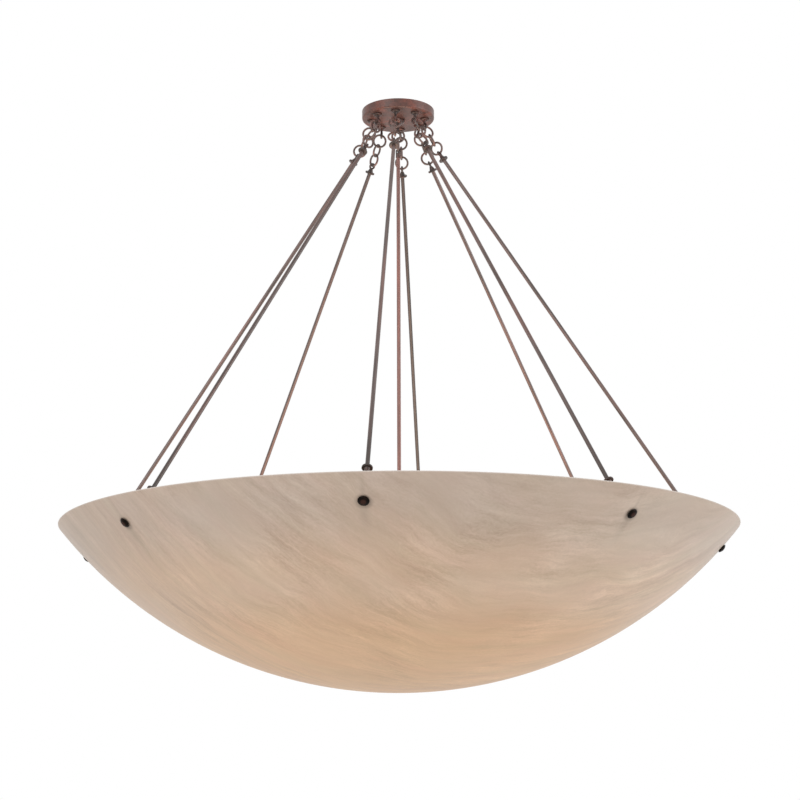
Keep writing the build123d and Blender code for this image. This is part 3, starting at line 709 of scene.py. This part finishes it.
class Finishes:
    """All the materials: one for each slot of the record, and those of single nodes and of the rods."""

    TUBE_CLOUDS: Place = (140.0, 140.0, 4.5)
    BRONZE = {
        Slot.CANOPY: Bronze(
            base=(0.105, 0.046, 0.037), ruddy=(0.192, 0.060, 0.042), dark=(0.058, 0.037, 0.032),
            cloud_scale=(34.0, 34.0, 34.0),
        ),
        Slot.ROD: Bronze(
            base=(0.135, 0.095, 0.086), ruddy=(0.24, 0.115, 0.095), dark=(0.055, 0.046, 0.042),
            dark_share=0.75, cloud_scale=(55.0, 55.0, 55.0), roughness=0.40, metallic=0.35,
        ),
        Slot.KNOB: HighlightedKnobBronze(
            base=(0.0045, 0.0026, 0.0016), ruddy=(0.020, 0.008, 0.005), dark=(0.0024, 0.0016, 0.0010),
            ruddy_share=0.45, dark_share=0.5, cloud_scale=(120.0, 120.0, 120.0), speckle_scale=7.0,
            roughness=0.28, metallic=0.0, specular=0.07,
        ),
        Slot.EYE_BOLT: Bronze(
            base=(0.10, 0.075, 0.068), ruddy=(0.2, 0.1, 0.08), dark=(0.045, 0.04, 0.037),
            ruddy_share=0.5, metallic=0.5,
        ),
    }
    CASTING = Bronze(
        base=(0.066, 0.040, 0.035), ruddy=(0.17, 0.055, 0.042), dark=(0.026, 0.021, 0.019),
        dark_share=0.7, speckle_scale=8.0, roughness=0.32, specular=0.4,
    )
    ROD_END = Bronze(
        base=(0.064, 0.050, 0.045), ruddy=(0.12, 0.058, 0.048), dark=(0.028, 0.025, 0.023),
        ruddy_share=0.6, dark_share=0.7, speckle_scale=8.0, roughness=0.34, specular=0.35,
    )
    ROD_TUBE = Bronze(
        base=(0.145, 0.106, 0.098), ruddy=(0.22, 0.118, 0.100), dark=(0.055, 0.048, 0.044),
        ruddy_share=0.7, dark_share=0.8, cloud_scale=TUBE_CLOUDS, speckle_scale=5.0,
        roughness=0.36, metallic=0.4, attribute=ROD_SPACE, shade_attribute=FOOT_SHADE,
    )
    STEM_TUBE = Bronze(
        base=(0.192, 0.096, 0.082), ruddy=(0.285, 0.113, 0.091), dark=(0.102, 0.062, 0.056),
        ruddy_share=0.85, cloud_scale=TUBE_CLOUDS, speckle_scale=5.0, roughness=0.36, metallic=0.4,
    )
    PLAIN = {
        Slot.STEEL: PlainFinish(
            colour=(0.58, 0.58, 0.57), roughness=0.34, grain_scale=240.0, grain_depth=0.25, metallic=1.0,
        ),
        Slot.RUBBER: PlainFinish(
            colour=(0.03, 0.03, 0.03), roughness=0.75, grain_scale=600.0, grain_depth=0.3,
        ),
        Slot.CLUSTER: PlainFinish(
            colour=(0.56, 0.55, 0.52), roughness=0.38, grain_scale=160.0, grain_depth=0.08, coat=0.2,
        ),
        Slot.HOLDER: PlainFinish(
            colour=(0.62, 0.61, 0.58), roughness=0.42, grain_scale=320.0, grain_depth=0.06,
        ),
        Slot.LAMP: PlainFinish(
            colour=(0.70, 0.68, 0.64), roughness=0.30, grain_scale=90.0, grain_depth=0.03, coat=0.3,
        ),
    }

    def __init__(self) -> None:
        """Build the groups and every material."""
        patina = patina_group()
        grain = grain_group()
        self.by_slot: dict[Slot, Material] = {}
        for slot, finish in self.BRONZE.items():
            self.by_slot[slot] = finish.material(slot.value, patina)
        for slot, finish in self.PLAIN.items():
            self.by_slot[slot] = finish.material(slot.value, grain)
        self.by_slot[Slot.BOWL] = MarbledAcrylic().material(Slot.BOWL.value, streak_group())
        self.rod_tube = self.ROD_TUBE.material("rod_tube_bronze", patina)
        self.by_node = {"stem_tube": self.STEM_TUBE.material("stem_tube_bronze", patina)}
        casting = self.CASTING.material("casting_bronze", patina)
        rod_end = self.ROD_END.material("stem_end_bronze", patina)
        self.by_node.update(dict.fromkeys(("canopy_eyes", "centre_eye"), casting))
        self.by_node.update(dict.fromkeys(("stem_end", *(f"{leg}_rod_ends" for leg in LEGS)), rod_end))

    def dress_nodes(self) -> None:
        """Give every solid of the frame its own material, or else the one of its slot."""
        for part in frame["record"]["subparts"]:
            node = part["node"]
            mesh = frame["nodes"][node].data
            mesh.materials.clear()
            mesh.materials.append(self.by_node.get(node) or self.by_slot[Slot(part["material_slot"])])


def joint_line(name: str) -> tuple[Vector, Vector]:
    """A point on a joint's axis, and the axis."""
    joint = next(joint for joint in frame["joints"] if joint["name"] == name)
    return Vector(joint["pos_m"]), Vector(joint["axis"]).normalized()


def knob_lines() -> list[tuple[Vector, Vector]]:
    """Place and outward axis of each knob, in the order of the legs."""
    return [joint_line(f"{leg}_knob_turn") for leg in LEGS]


@dataclass(frozen=True)
class Solid:
    """One separate solid of a node: its middle, and its main axes from the longest to the shortest."""

    middle: Vector
    axes: tuple[Vector, Vector, Vector]
    half_sizes: tuple[float, float, float]


def solids_of(node: str) -> list[Solid]:
    """Measure the separate solids of one node.

    Args:
        node: Name of the node.

    Returns:
        The solids, in the order of the mesh.
    """
    work = bmesh.new()
    work.from_mesh(frame["nodes"][node].data)
    bmesh.ops.remove_doubles(work, verts=work.verts, dist=MERGE_DISTANCE)
    found = []
    seen: set[bmesh.types.BMVert] = set()
    for start in work.verts:
        if start in seen:
            continue
        island, waiting = [], [start]
        seen.add(start)
        while waiting:
            vertex = waiting.pop()
            island.append(vertex.co.copy())
            for edge in vertex.link_edges:
                other = edge.other_vert(vertex)
                if other not in seen:
                    seen.add(other)
                    waiting.append(other)
        found.append(measure(np.array(island)))
    work.free()
    return found


def measure(points: np.ndarray) -> Solid:
    """Find the middle, main axes and half sizes of a cloud of points.

    Args:
        points: One point to a row.

    Returns:
        The measured solid.
    """
    middle = points.mean(axis=0)
    spread, axes = np.linalg.eigh(np.cov((points - middle).T))
    order = np.argsort(spread)[::-1]
    half_sizes = tuple(float(np.abs((points - middle) @ axes[:, i]).max()) for i in order)
    return Solid(Vector(middle), tuple(Vector(axes[:, i]) for i in order), half_sizes)


def new_piece(name: str, mesh: Mesh) -> Object:
    """Put a mesh into the scene as a piece at the origin.

    Args:
        name: Name of the piece.
        mesh: Its mesh.

    Returns:
        The piece.
    """
    piece = bpy.data.objects.new(name, mesh)
    bpy.context.scene.collection.objects.link(piece)
    return piece


def marked_points(places: Sequence[Vector], facings: Sequence[Vector]) -> Mesh:
    """Loose points that each carry a direction, for a geometry tree to build on.

    Args:
        places: Where the points are.
        facings: The direction at each point.

    Returns:
        The mesh.
    """
    mesh = bpy.data.meshes.new("marked_points")
    mesh.from_pydata(places, [], [])
    attribute = mesh.attributes.new(FACING, "FLOAT_VECTOR", "POINT")
    attribute.data.foreach_set("vector", [value for facing in facings for value in facing])
    return mesh


class GeometryTree(Group):
    """A geometry node tree with named sizes, which works on marked points."""

    def __init__(self, name: str, *sizes: str, counts: tuple[str, ...] = ()) -> None:
        """Start the tree.

        Args:
            name: Name of the tree.
            sizes: Names of its sizes.
            counts: Names of its whole numbers.
        """
        shape = Kind.SHAPE.named("Geometry")
        numbers = Kind.COUNT.named(*counts) | Kind.NUMBER.named(*sizes)
        inputs = shape | numbers | Kind.MATERIAL.named("Material")
        super().__init__(name, inputs, shape, "GeometryNodeTree")

    def circle(self, steps: int, radius: Any) -> NodeSocket:
        """A round curve in the XY plane."""
        return self.first("GeometryNodeCurvePrimitiveCircle", {"Resolution": steps, "Radius": radius})

    def upright(self, low: Any, high: Any) -> NodeSocket:
        """A straight curve up the Z axis."""
        ends = {"Start": self.vector(0.0, 0.0, low), "End": self.vector(0.0, 0.0, high)}
        return self.first("GeometryNodeCurvePrimitiveLine", ends)

    def sweep(self, path: Any, section: Any, scale: Any = 1.0) -> NodeSocket:
        """A section swept along a path, with its ends closed."""
        inputs = {"Curve": path, "Profile Curve": section, "Scale": scale, "Fill Caps": True}
        return self.first("GeometryNodeCurveToMesh", inputs)

    def store(self, shape: Any, name: str, value: Any, kind: str) -> NodeSocket:
        """A shape that keeps a value at each of its points."""
        inputs = {"Geometry": shape, "Name": name, "Value": value}
        return self.first("GeometryNodeStoreNamedAttribute", inputs, data_type=kind, domain="POINT")

    def on_points(self, shape: NodeSocket, spin: bool = False) -> NodeSocket:
        """Set a shape on the marked points, facing their way.

        Args:
            shape: The shape, built along +Z at the origin.
            spin: Whether each copy is turned about its own axis by chance.

        Returns:
            The copies, as real geometry.
        """
        facing = self.first("GeometryNodeInputNamedAttribute", {"Name": FACING}, data_type="FLOAT_VECTOR")
        turn = self.first("FunctionNodeAlignRotationToVector", {"Vector": facing}, axis="Z")
        if spin:
            limits = dict(zip(self.RANDOM_RANGE, (0.0, FULL_TURN)))
            chance = self.node("FunctionNodeRandomValue", {**limits, "Seed": SEED}, data_type="FLOAT")
            angle = chance.outputs[self.RANDOM]
            about = self.first("FunctionNodeAxisAngleToRotation", {"Angle": angle})
            turn = self.first("FunctionNodeRotateRotation", {0: turn, 1: about}, rotation_space="LOCAL")
        inputs = {"Points": self["Geometry"], "Instance": shape, "Rotation": turn}
        copies = self.first("GeometryNodeInstanceOnPoints", inputs)
        return self.first("GeometryNodeRealizeInstances", {"Geometry": copies})

    def close(self, shape: NodeSocket) -> None:
        """End the tree with a smooth shape in its material.

        Args:
            shape: The finished geometry.
        """
        real = self.first("GeometryNodeRealizeInstances", {"Geometry": shape})
        smooth = self.first("GeometryNodeSetShadeSmooth", {"Geometry": real})
        inputs = {"Geometry": smooth, "Material": self["Material"]}
        self.put_out("Geometry", self.first("GeometryNodeSetMaterial", inputs))

    def build(self, name: str, points: Mesh, values: dict[str, Any]) -> Object:
        """Run the tree on marked points and keep the result as a plain mesh.

        Args:
            name: Name of the new piece.
            points: The marked points.
            values: Value of each named size, and the material.

        Returns:
            The piece.
        """
        piece = new_piece(name, points)
        modifier = piece.modifiers.new("shape", "NODES")
        modifier.node_group = self.tree
        for item in self.tree.interface.items_tree:
            if item.in_out == "INPUT" and item.name in values:
                modifier[item.identifier] = values[item.name]
        piece.update_tag()
        evaluated = piece.evaluated_get(bpy.context.evaluated_depsgraph_get())
        mesh = bpy.data.meshes.new_from_object(evaluated)
        piece.modifiers.clear()
        piece.data = mesh
        mesh.name = name
        bpy.data.meshes.remove(points)
        return piece


def keep(piece: Object, body: str, slot: Slot, *replaced: str) -> None:
    """Tie a finished piece to its body, and hide the nodes that it stands for.

    Args:
        piece: The piece.
        body: The body that carries it.
        slot: The record's slot for its finish; not used.
        replaced: Names of the nodes that it replaces.
    """
    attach(piece, body)
    if replaced:
        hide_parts(*replaced)
    LOG.info("piece %s on %s, %d faces", piece.name, body, len(piece.data.polygons))


@dataclass
class RingChains:
    """The bent and welded rings between the canopy, the rods and the bowl."""

    finishes: Finishes
    seam_place: float = 0.5
    seam_swell: float = 0.13
    seam_width: float = 0.02
    ring_steps: int = 56
    wire_steps: int = 14

    def tree(self) -> GeometryTree:
        """Geometry tree of one ring, with a small swelling where its wire was joined.

        Returns:
            The tree.
        """
        tree = GeometryTree("welded_ring", "Ring Radius", "Wire Radius", "Seam Swell", "Seam Width")
        share = tree.node("GeometryNodeSplineParameter").outputs["Factor"]
        from_seam = tree.over(tree.minus(share, self.seam_place), tree["Seam Width"])
        bell = tree.math("EXPONENT", tree.times(tree.math("POWER", from_seam, 2.0), -1.0))
        swell = tree.plus(tree.times(bell, tree["Seam Swell"]), 1.0)
        wire = tree.circle(self.wire_steps, tree["Wire Radius"])
        ring = tree.sweep(tree.circle(self.ring_steps, tree["Ring Radius"]), wire, swell)
        tree.close(tree.on_points(ring, spin=True))
        return tree

    def build(self) -> None:
        """Make the rings of every chain and set them in place of the plain ones."""
        tree = self.tree()
        chains = {f"{leg}_chain": f"{leg}_leg" for leg in LEGS} | {"centre_rings": "centre_chain"}
        for node, body in chains.items():
            rings = solids_of(node)
            wire_radius = rings[0].half_sizes[2]
            points = marked_points([ring.middle for ring in rings], [ring.axes[2] for ring in rings])
            piece = tree.build(f"{node}_welded", points, {
                "Ring Radius": rings[0].half_sizes[0] - wire_radius,
                "Wire Radius": wire_radius,
                "Seam Swell": self.seam_swell,
                "Seam Width": self.seam_width,
                "Material": self.finishes.by_slot[Slot.ROD],
            })
            keep(piece, body, Slot.ROD, node)


@dataclass
class Rods:
    """The eight slanted rods, whose patina runs along them; some rods are darker all along, and the front rods
    have painted shade at their feet.
    """

    finishes: Finishes
    steps_round: int = 28
    steps_along: int = 60
    patina_shift: float = 2.3
    # Painted shade at the feet of the front rods, which face away from the lamps, and how much darker some rods
    # are all along.
    painted_foot_shades: tuple[tuple[str, float], ...] = (("front_left", 0.8), ("front", 0.8), ("front_right", 0.8))
    rod_shades: tuple[tuple[str, float], ...] = (("back", 0.65), ("back_left", 0.2), ("front_left", 0.45))
    foot_reach: float = 0.24

    def tree(self) -> GeometryTree:
        """Geometry tree of one rod that keeps its own axes and its shade as attributes.

        Returns:
            The tree.
        """
        shades = ("Patina Shift", "Rod Shade", "Foot Shade", "Foot Reach")
        tree = GeometryTree("round_rod", "Length", "Radius", *shades)
        top = tree.times(tree["Length"], HALF)
        foot = tree.times(top, -1.0)
        inputs = {"Curve": tree.upright(foot, top), "Count": self.steps_along}
        line = tree.first("GeometryNodeResampleCurve", inputs)
        rod = tree.sweep(line, tree.circle(self.steps_round, tree["Radius"]))
        place = tree.first("GeometryNodeInputPosition")
        own_axes = tree.vector_math("ADD", place, tree.vector(tree["Patina Shift"]))
        rod = tree.store(rod, ROD_SPACE, own_axes, "FLOAT_VECTOR")
        # Painted shade fading up from the foot, or the rod's even darkening where that is more.
        shaded_end = tree.plus(foot, tree["Foot Reach"])
        foot_shade = tree.remap(tree.split(place)[2], foot, shaded_end, tree["Foot Shade"], 0.0)
        rod = tree.store(rod, FOOT_SHADE, tree.math("MAXIMUM", foot_shade, tree["Rod Shade"]), "FLOAT")
        tree.close(tree.on_points(rod))
        return tree

    def build(self) -> None:
        """Make every rod and set it in place of the plain one."""
        tree = self.tree()
        for index, leg in enumerate(LEGS):
            node = f"{leg}_rod"
            rod = solids_of(node)[0]
            upwards = rod.axes[0] if rod.axes[0].z > 0 else -rod.axes[0]
            piece = tree.build(f"{node}_tube", marked_points([rod.middle], [upwards]), {
                "Length": 2 * rod.half_sizes[0],
                "Radius": rod.half_sizes[2],
                "Patina Shift": index * self.patina_shift,
                "Rod Shade": dict(self.rod_shades).get(leg, 0.0),
                "Foot Shade": dict(self.painted_foot_shades).get(leg, 0.0),
                "Foot Reach": self.foot_reach,
                "Material": self.finishes.rod_tube,
            })
            keep(piece, f"{leg}_leg", Slot.ROD, node)


@dataclass
class Bowl:
    """The bowl's shell: an even-walled spherical cap with a soft rim and a hole at each knob."""

    finishes: Finishes
    diameter: float = 1.3716
    wall: float = 0.006
    rim_rounding: float = 0.0014
    hole_radius: float = 0.0035
    hole_steps: int = 24
    drill_walls: float = 6.0
    steps_round: int = 224
    steps_up: int = 72
    rim_steps: int = 6
    path_radius: float = 0.01
    streak_angle: float = math.radians(38.0)
    sharp_angle: float = math.radians(35.0)

    def __post_init__(self) -> None:
        """Work out the sphere from the box of the bowl's solid."""
        low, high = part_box("bowl")
        self.rim_z = high[2]
        depth = high[2] - low[2]
        self.radius = ((self.diameter / 2) ** 2 + depth**2) / (2 * depth)
        self.centre_z = low[2] + self.radius

    def tree(self) -> GeometryTree:
        """Geometry tree of the shell: its section swept round the axis, and the bolts' holes cut out.

        A section's X is its distance from the path, outwards, and its Y points down.

        Returns:
            The tree.
        """
        heights = ("Centre Height", "Rim Height")
        radii = ("Sphere Radius", "Rim Rounding", "Hole Radius")
        tree = GeometryTree("even_walled_cap", "Wall", *heights, *radii)
        shoulder = tree.minus(tree["Rim Height"], tree["Rim Rounding"])
        drop = tree.minus(tree["Centre Height"], shoulder)
        inner_radius = tree.minus(tree["Sphere Radius"], tree["Wall"])
        to_axis = tree.vector(-self.path_radius, tree.times(tree["Centre Height"], -1.0))
        skins, edges = [], []
        for radius, outside in ((tree["Sphere Radius"], True), (inner_radius, False)):
            rim_angle = tree.math("ARCSINE", tree.over(drop, radius))
            span = tree.minus(QUARTER_TURN, rim_angle)
            skin = tree.first("GeometryNodeCurveArc", {
                "Resolution": self.steps_up,
                "Radius": radius,
                "Start Angle": QUARTER_TURN if outside else rim_angle,
                "Sweep Angle": tree.times(span, -1.0 if outside else 1.0),
            }, mode="RADIUS")
            skins.append(tree.first("GeometryNodeTransform", {"Geometry": skin, "Translation": to_axis}))
            reach = tree.times(radius, tree.math("COSINE", rim_angle))
            edges.append(tree.minus(reach, self.path_radius))
        crest = tree.plus(tree["Rim Height"], tree["Rim Rounding"])
        middle = tree.times(tree.plus(*edges), HALF)
        corners = {"Start": (edges[0], shoulder), "Middle": (middle, crest), "End": (edges[1], shoulder)}
        inputs = {name: tree.vector(x, tree.times(height, -1.0)) for name, (x, height) in corners.items()}
        rim = tree.first("GeometryNodeCurveQuadraticBezier", {"Resolution": self.rim_steps, **inputs})
        section = tree.node("GeometryNodeJoinGeometry")
        for part in (*skins, rim):
            tree.feed(section.inputs[0], part)
        turned = tree.first("GeometryNodeCurveToMesh", {
            "Curve": tree.circle(self.steps_round, self.path_radius),
            "Profile Curve": section.outputs[0],
        })
        shell = tree.first("GeometryNodeMergeByDistance", {"Geometry": turned, "Distance": MERGE_DISTANCE})
        drill = tree.first("GeometryNodeMeshCylinder", {
            "Vertices": self.hole_steps,
            "Radius": tree["Hole Radius"],
            "Depth": tree.times(tree["Wall"], self.drill_walls),
        })
        inputs = {0: shell, "Mesh 2": tree.on_points(drill)}
        tree.close(tree.first("GeometryNodeMeshBoolean", inputs, operation="DIFFERENCE", solver="EXACT"))
        return tree

    def map_sheet(self, mesh: Mesh) -> None:
        """Lay the shell out as the flat sheet that it was pressed from, turned to the streaks.

        Args:
            mesh: The shell.
        """
        flat = mesh.uv_layers.new(name=SHEET_MAP)
        cosine, sine = math.cos(self.streak_angle), math.sin(self.streak_angle)
        places = []
        for vertex in mesh.vertices:
            x, y, z = vertex.co
            reach = math.hypot(x, y)
            arc_length = self.radius * math.atan2(reach, self.centre_z - z)
            spread = arc_length / reach if reach > MERGE_DISTANCE else 1.0
            places.append((spread * (x * cosine + y * sine), spread * (y * cosine - x * sine)))
        for loop in mesh.loops:
            flat.data[loop.index].uv = places[loop.vertex_index]

    def build(self) -> None:
        """Make the drilled shell and set it in place of the plain one."""
        shell = self.tree().build("bowl_shell", marked_points(*zip(*knob_lines())), {
            "Sphere Radius": self.radius,
            "Centre Height": self.centre_z,
            "Rim Height": self.rim_z,
            "Wall": self.wall,
            "Rim Rounding": self.rim_rounding,
            "Hole Radius": self.hole_radius,
            "Material": self.finishes.by_slot[Slot.BOWL],
        })
        shell.data.set_sharp_from_angle(angle=self.sharp_angle)
        self.map_sheet(shell.data)
        keep(shell, "bowl", Slot.BOWL, "bowl")


@dataclass
class Threads:
    """Rolled threads on the bowl's eye bolts and on the hanging nipple."""

    finishes: Finishes
    pitch: float = 0.001
    ridge: float = 0.00025
    bolt_radius: float = 0.003
    bolt_start: float = 0.0085
    bolt_length: float = 0.0215
    steps_round: int = 18
    ridge_steps: int = 5

    def tree(self) -> GeometryTree:
        """Geometry tree of one thread, a ridge that climbs round a shank.

        Returns:
            The tree.
        """
        tree = GeometryTree("rolled_thread", "Shank Radius", "Thread Length", "Pitch", "Ridge")
        climb = tree.first("GeometryNodeCurveSpiral", {
            "Resolution": self.steps_round,
            "Rotations": tree.over(tree["Thread Length"], tree["Pitch"]),
            "Start Radius": tree["Shank Radius"],
            "End Radius": tree["Shank Radius"],
            "Height": tree["Thread Length"],
        })
        tree.close(tree.on_points(tree.sweep(climb, tree.circle(self.ridge_steps, tree["Ridge"]))))
        return tree

    def build(self) -> None:
        """Make the threads of the eye bolts and of the nipple."""
        tree = self.tree()
        bolts = knob_lines()
        starts = [place - axis * self.bolt_start for place, axis in bolts]
        bolt_points = marked_points(starts, [-axis for _, axis in bolts])
        low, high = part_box("hanging_nipple")
        nipple_point = marked_points([Vector((0.0, 0.0, low[2]))], [Vector((0.0, 0.0, 1.0))])
        nipple_radius = (high[0] - low[0]) / 2
        nipple_length = high[2] - low[2] - self.pitch
        threads = (
            ("bowl_bolt_threads", "bowl", Slot.EYE_BOLT, bolt_points, self.bolt_radius, self.bolt_length),
            ("nipple_thread", "canopy", Slot.STEEL, nipple_point, nipple_radius, nipple_length),
        )
        for name, body, slot, points, radius, length in threads:
            piece = tree.build(name, points, {
                "Shank Radius": radius,
                "Thread Length": length,
                "Pitch": self.pitch,
                "Ridge": self.ridge,
                "Material": self.finishes.by_slot[slot],
            })
            keep(piece, body, slot)


@dataclass
class GripRibs:
    """Moulded grip ribs round the lampholders."""

    finishes: Finishes
    count: int = 32
    rib_radius: float = 0.0010
    standing: float = 0.0005
    margin: float = 0.0055
    rib_steps: int = 8

    def tree(self) -> GeometryTree:
        """Geometry tree of one ring of ribs.

        Returns:
            The tree.
        """
        tree = GeometryTree("grip_ribs", "Rib Length", "Rib Radius", "Ring Radius", counts=("Rib Count",))
        line = tree.upright(0.0, tree["Rib Length"])
        rib = tree.sweep(line, tree.circle(self.rib_steps, tree["Rib Radius"]))
        inputs = {"Vertices": tree["Rib Count"], "Radius": tree["Ring Radius"]}
        ring = tree.first("GeometryNodeMeshCircle", inputs)
        ribs = tree.first("GeometryNodeInstanceOnPoints", {"Points": ring, "Instance": rib})
        tree.close(tree.on_points(ribs))
        return tree

    def build(self) -> None:
        """Make the ribs of every lampholder."""
        lamps = [joint_line(f"lamp_{number}_turn") for number in range(1, LAMP_COUNT + 1)]
        low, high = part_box("lampholders")
        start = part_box("cluster_hub")[1][0] + self.margin
        points = marked_points([hub + axis * start for hub, axis in lamps], [axis for _, axis in lamps])
        piece = self.tree().build("lampholder_ribs", points, {
            "Rib Count": self.count,
            "Rib Length": high[0] - self.margin - start,
            "Rib Radius": self.rib_radius,
            "Ring Radius": (high[2] - low[2]) / 2 - self.rib_radius + self.standing,
            "Material": self.finishes.by_slot[Slot.HOLDER],
        })
        keep(piece, "lamp_stem", Slot.HOLDER)


@dataclass(frozen=True)
class SoftLight:
    """One soft light: where it hangs, where it shines, and what it gives."""

    name: str
    place: Place
    target: Place
    size: float
    power: float
    colour: Colour
    shape: str = "SQUARE"
    spread: float = math.pi
    seen: bool = True

    def build(self) -> None:
        """Hang the light and turn it to its target."""
        light = bpy.data.lights.new(self.name, "AREA")
        light.shape = self.shape
        light.size = self.size
        light.energy = self.power
        light.color = self.colour
        light.spread = self.spread
        lamp = bpy.data.objects.new(self.name, light)
        lamp.location = self.place
        towards = Vector(self.target) - lamp.location
        lamp.rotation_euler = towards.to_track_quat("-Z", "Y").to_euler()
        lamp.visible_camera = self.seen
        bpy.context.scene.collection.objects.link(lamp)


@dataclass
class Studio:
    """White surroundings, soft light and the photograph's camera."""

    floor_z: float = -2.8
    floor_half: float = 60.0
    floor_roughness: float = 0.8
    floor_colour: Colour = (0.80, 0.80, 0.79)
    fade_start: float = 3.0
    fade_end: float = 13.0
    world_light: float = 0.855
    softbox_size: float = 2.6
    softbox_target: Place = (0.0, 0.0, -0.95)
    right_place: Place = (4.4, -0.9, 0.2)
    right_power: float = 77.0
    right_colour: Colour = (0.90, 0.96, 1.0)
    left_place: Place = (-2.3, -4.0, 0.5)
    left_power: float = 64.0
    glow_size: float = 1.16
    glow_power: float = 6.4
    glow_spread: float = math.radians(130.0)
    glow_target: Place = (0.0, 0.0, 0.0)
    glow_colour: Colour = (1.0, 0.88, 0.76)
    camera_turn: float = math.radians(5.345)
    camera_distance: float = 3.8068
    camera_side: float = 0.0022
    camera_z: float = -1.4856
    camera_pitch: float = 0.22035
    camera_roll: float = -0.003086
    lens: float = 84.868
    sensor: float = 36.0

    def floor(self) -> None:
        """Lay a plain pale floor well below the bowl, which fades to white and is clear from underneath."""
        half = self.floor_half
        corners = [(-half, -half), (half, -half), (half, half), (-half, half)]
        mesh = bpy.data.meshes.new("floor")
        mesh.from_pydata([(x, y, self.floor_z) for x, y in corners], [], [(0, 1, 2, 3)])
        material, graph = new_material("pale_floor")
        plain = graph.principled({"Base Color": self.floor_colour, "Roughness": self.floor_roughness})
        length = graph.node("ShaderNodeVectorMath", {0: graph.object_place()}, operation="LENGTH")
        away = length.outputs["Value"]
        far = graph.times(graph.remap(away, self.fade_start, self.fade_end), graph.seen_rays())
        white = graph.first("ShaderNodeEmission", {"Color": WHITE, "Strength": 1.0})
        faded = graph.first("ShaderNodeMixShader", {0: far, 1: plain, 2: white})
        underneath = graph.node("ShaderNodeNewGeometry").outputs["Backfacing"]
        clear = graph.first("ShaderNodeBsdfTransparent")
        graph.end(graph.first("ShaderNodeMixShader", {0: underneath, 1: faded, 2: clear}))
        mesh.materials.append(material)
        new_piece("floor", mesh)

    def world(self) -> None:
        """White all round for the eye and for reflections, and a plain level of light for the rest."""
        world = bpy.data.worlds.new("studio_white")
        world.use_nodes = True
        world.node_tree.nodes.clear()
        graph = Graph(world.node_tree)
        strength = graph.remap(graph.seen_rays(), 0.0, 1.0, self.world_light, 1.0)
        light = graph.first("ShaderNodeBackground", {"Color": WHITE, "Strength": strength})
        graph.node("ShaderNodeOutputWorld", {"Surface": light})
        bpy.context.scene.world = world

    def lights(self) -> None:
        """Hang two softboxes, and let a warm light rise from the lamp cluster, as its lamps give."""
        sides = (
            ("right_softbox", self.right_place, self.right_power, self.right_colour),
            ("left_softbox", self.left_place, self.left_power, WHITE),
        )
        for name, place, power, colour in sides:
            SoftLight(name, place, self.softbox_target, self.softbox_size, power, colour).build()
        cluster_top = (0.0, 0.0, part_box("cluster_hub")[1][2])
        SoftLight(
            "lamp_glow", cluster_top, self.glow_target, self.glow_size, self.glow_power, self.glow_colour,
            shape="DISK", spread=self.glow_spread, seen=False,
        ).build()

    def camera(self) -> None:
        """Stand the camera where the photograph was taken from."""
        data = bpy.data.cameras.new("photo_camera")
        data.lens = self.lens
        data.sensor_width = self.sensor
        camera = bpy.data.objects.new("photo_camera", data)
        turn = Matrix.Rotation(self.camera_turn, 4, "Z")
        tilt = Matrix.Rotation(QUARTER_TURN + self.camera_pitch, 4, "X")
        roll = Matrix.Rotation(self.camera_roll, 4, "Z")
        place = Matrix.Translation((self.camera_side, -self.camera_distance, self.camera_z))
        camera.matrix_world = turn @ place @ tilt @ roll
        bpy.context.scene.collection.objects.link(camera)
        bpy.context.scene.camera = camera

    def build(self) -> None:
        """Set up floor, world, lights and camera."""
        bpy.context.scene.view_settings.view_transform = "Standard"
        self.floor()
        self.world()
        self.lights()
        self.camera()
        LOG.info("studio ready")


def main() -> None:
    """Build the finishes, the pieces and the studio in order."""
    logging.basicConfig(level=logging.INFO, format="%(name)s %(message)s")
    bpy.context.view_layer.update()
    finishes = Finishes()
    finishes.dress_nodes()
    for assembly in (RingChains, Rods, Bowl, Threads, GripRibs):
        assembly(finishes).build()
    Studio().build()


if __name__ == "__main__":
    main()
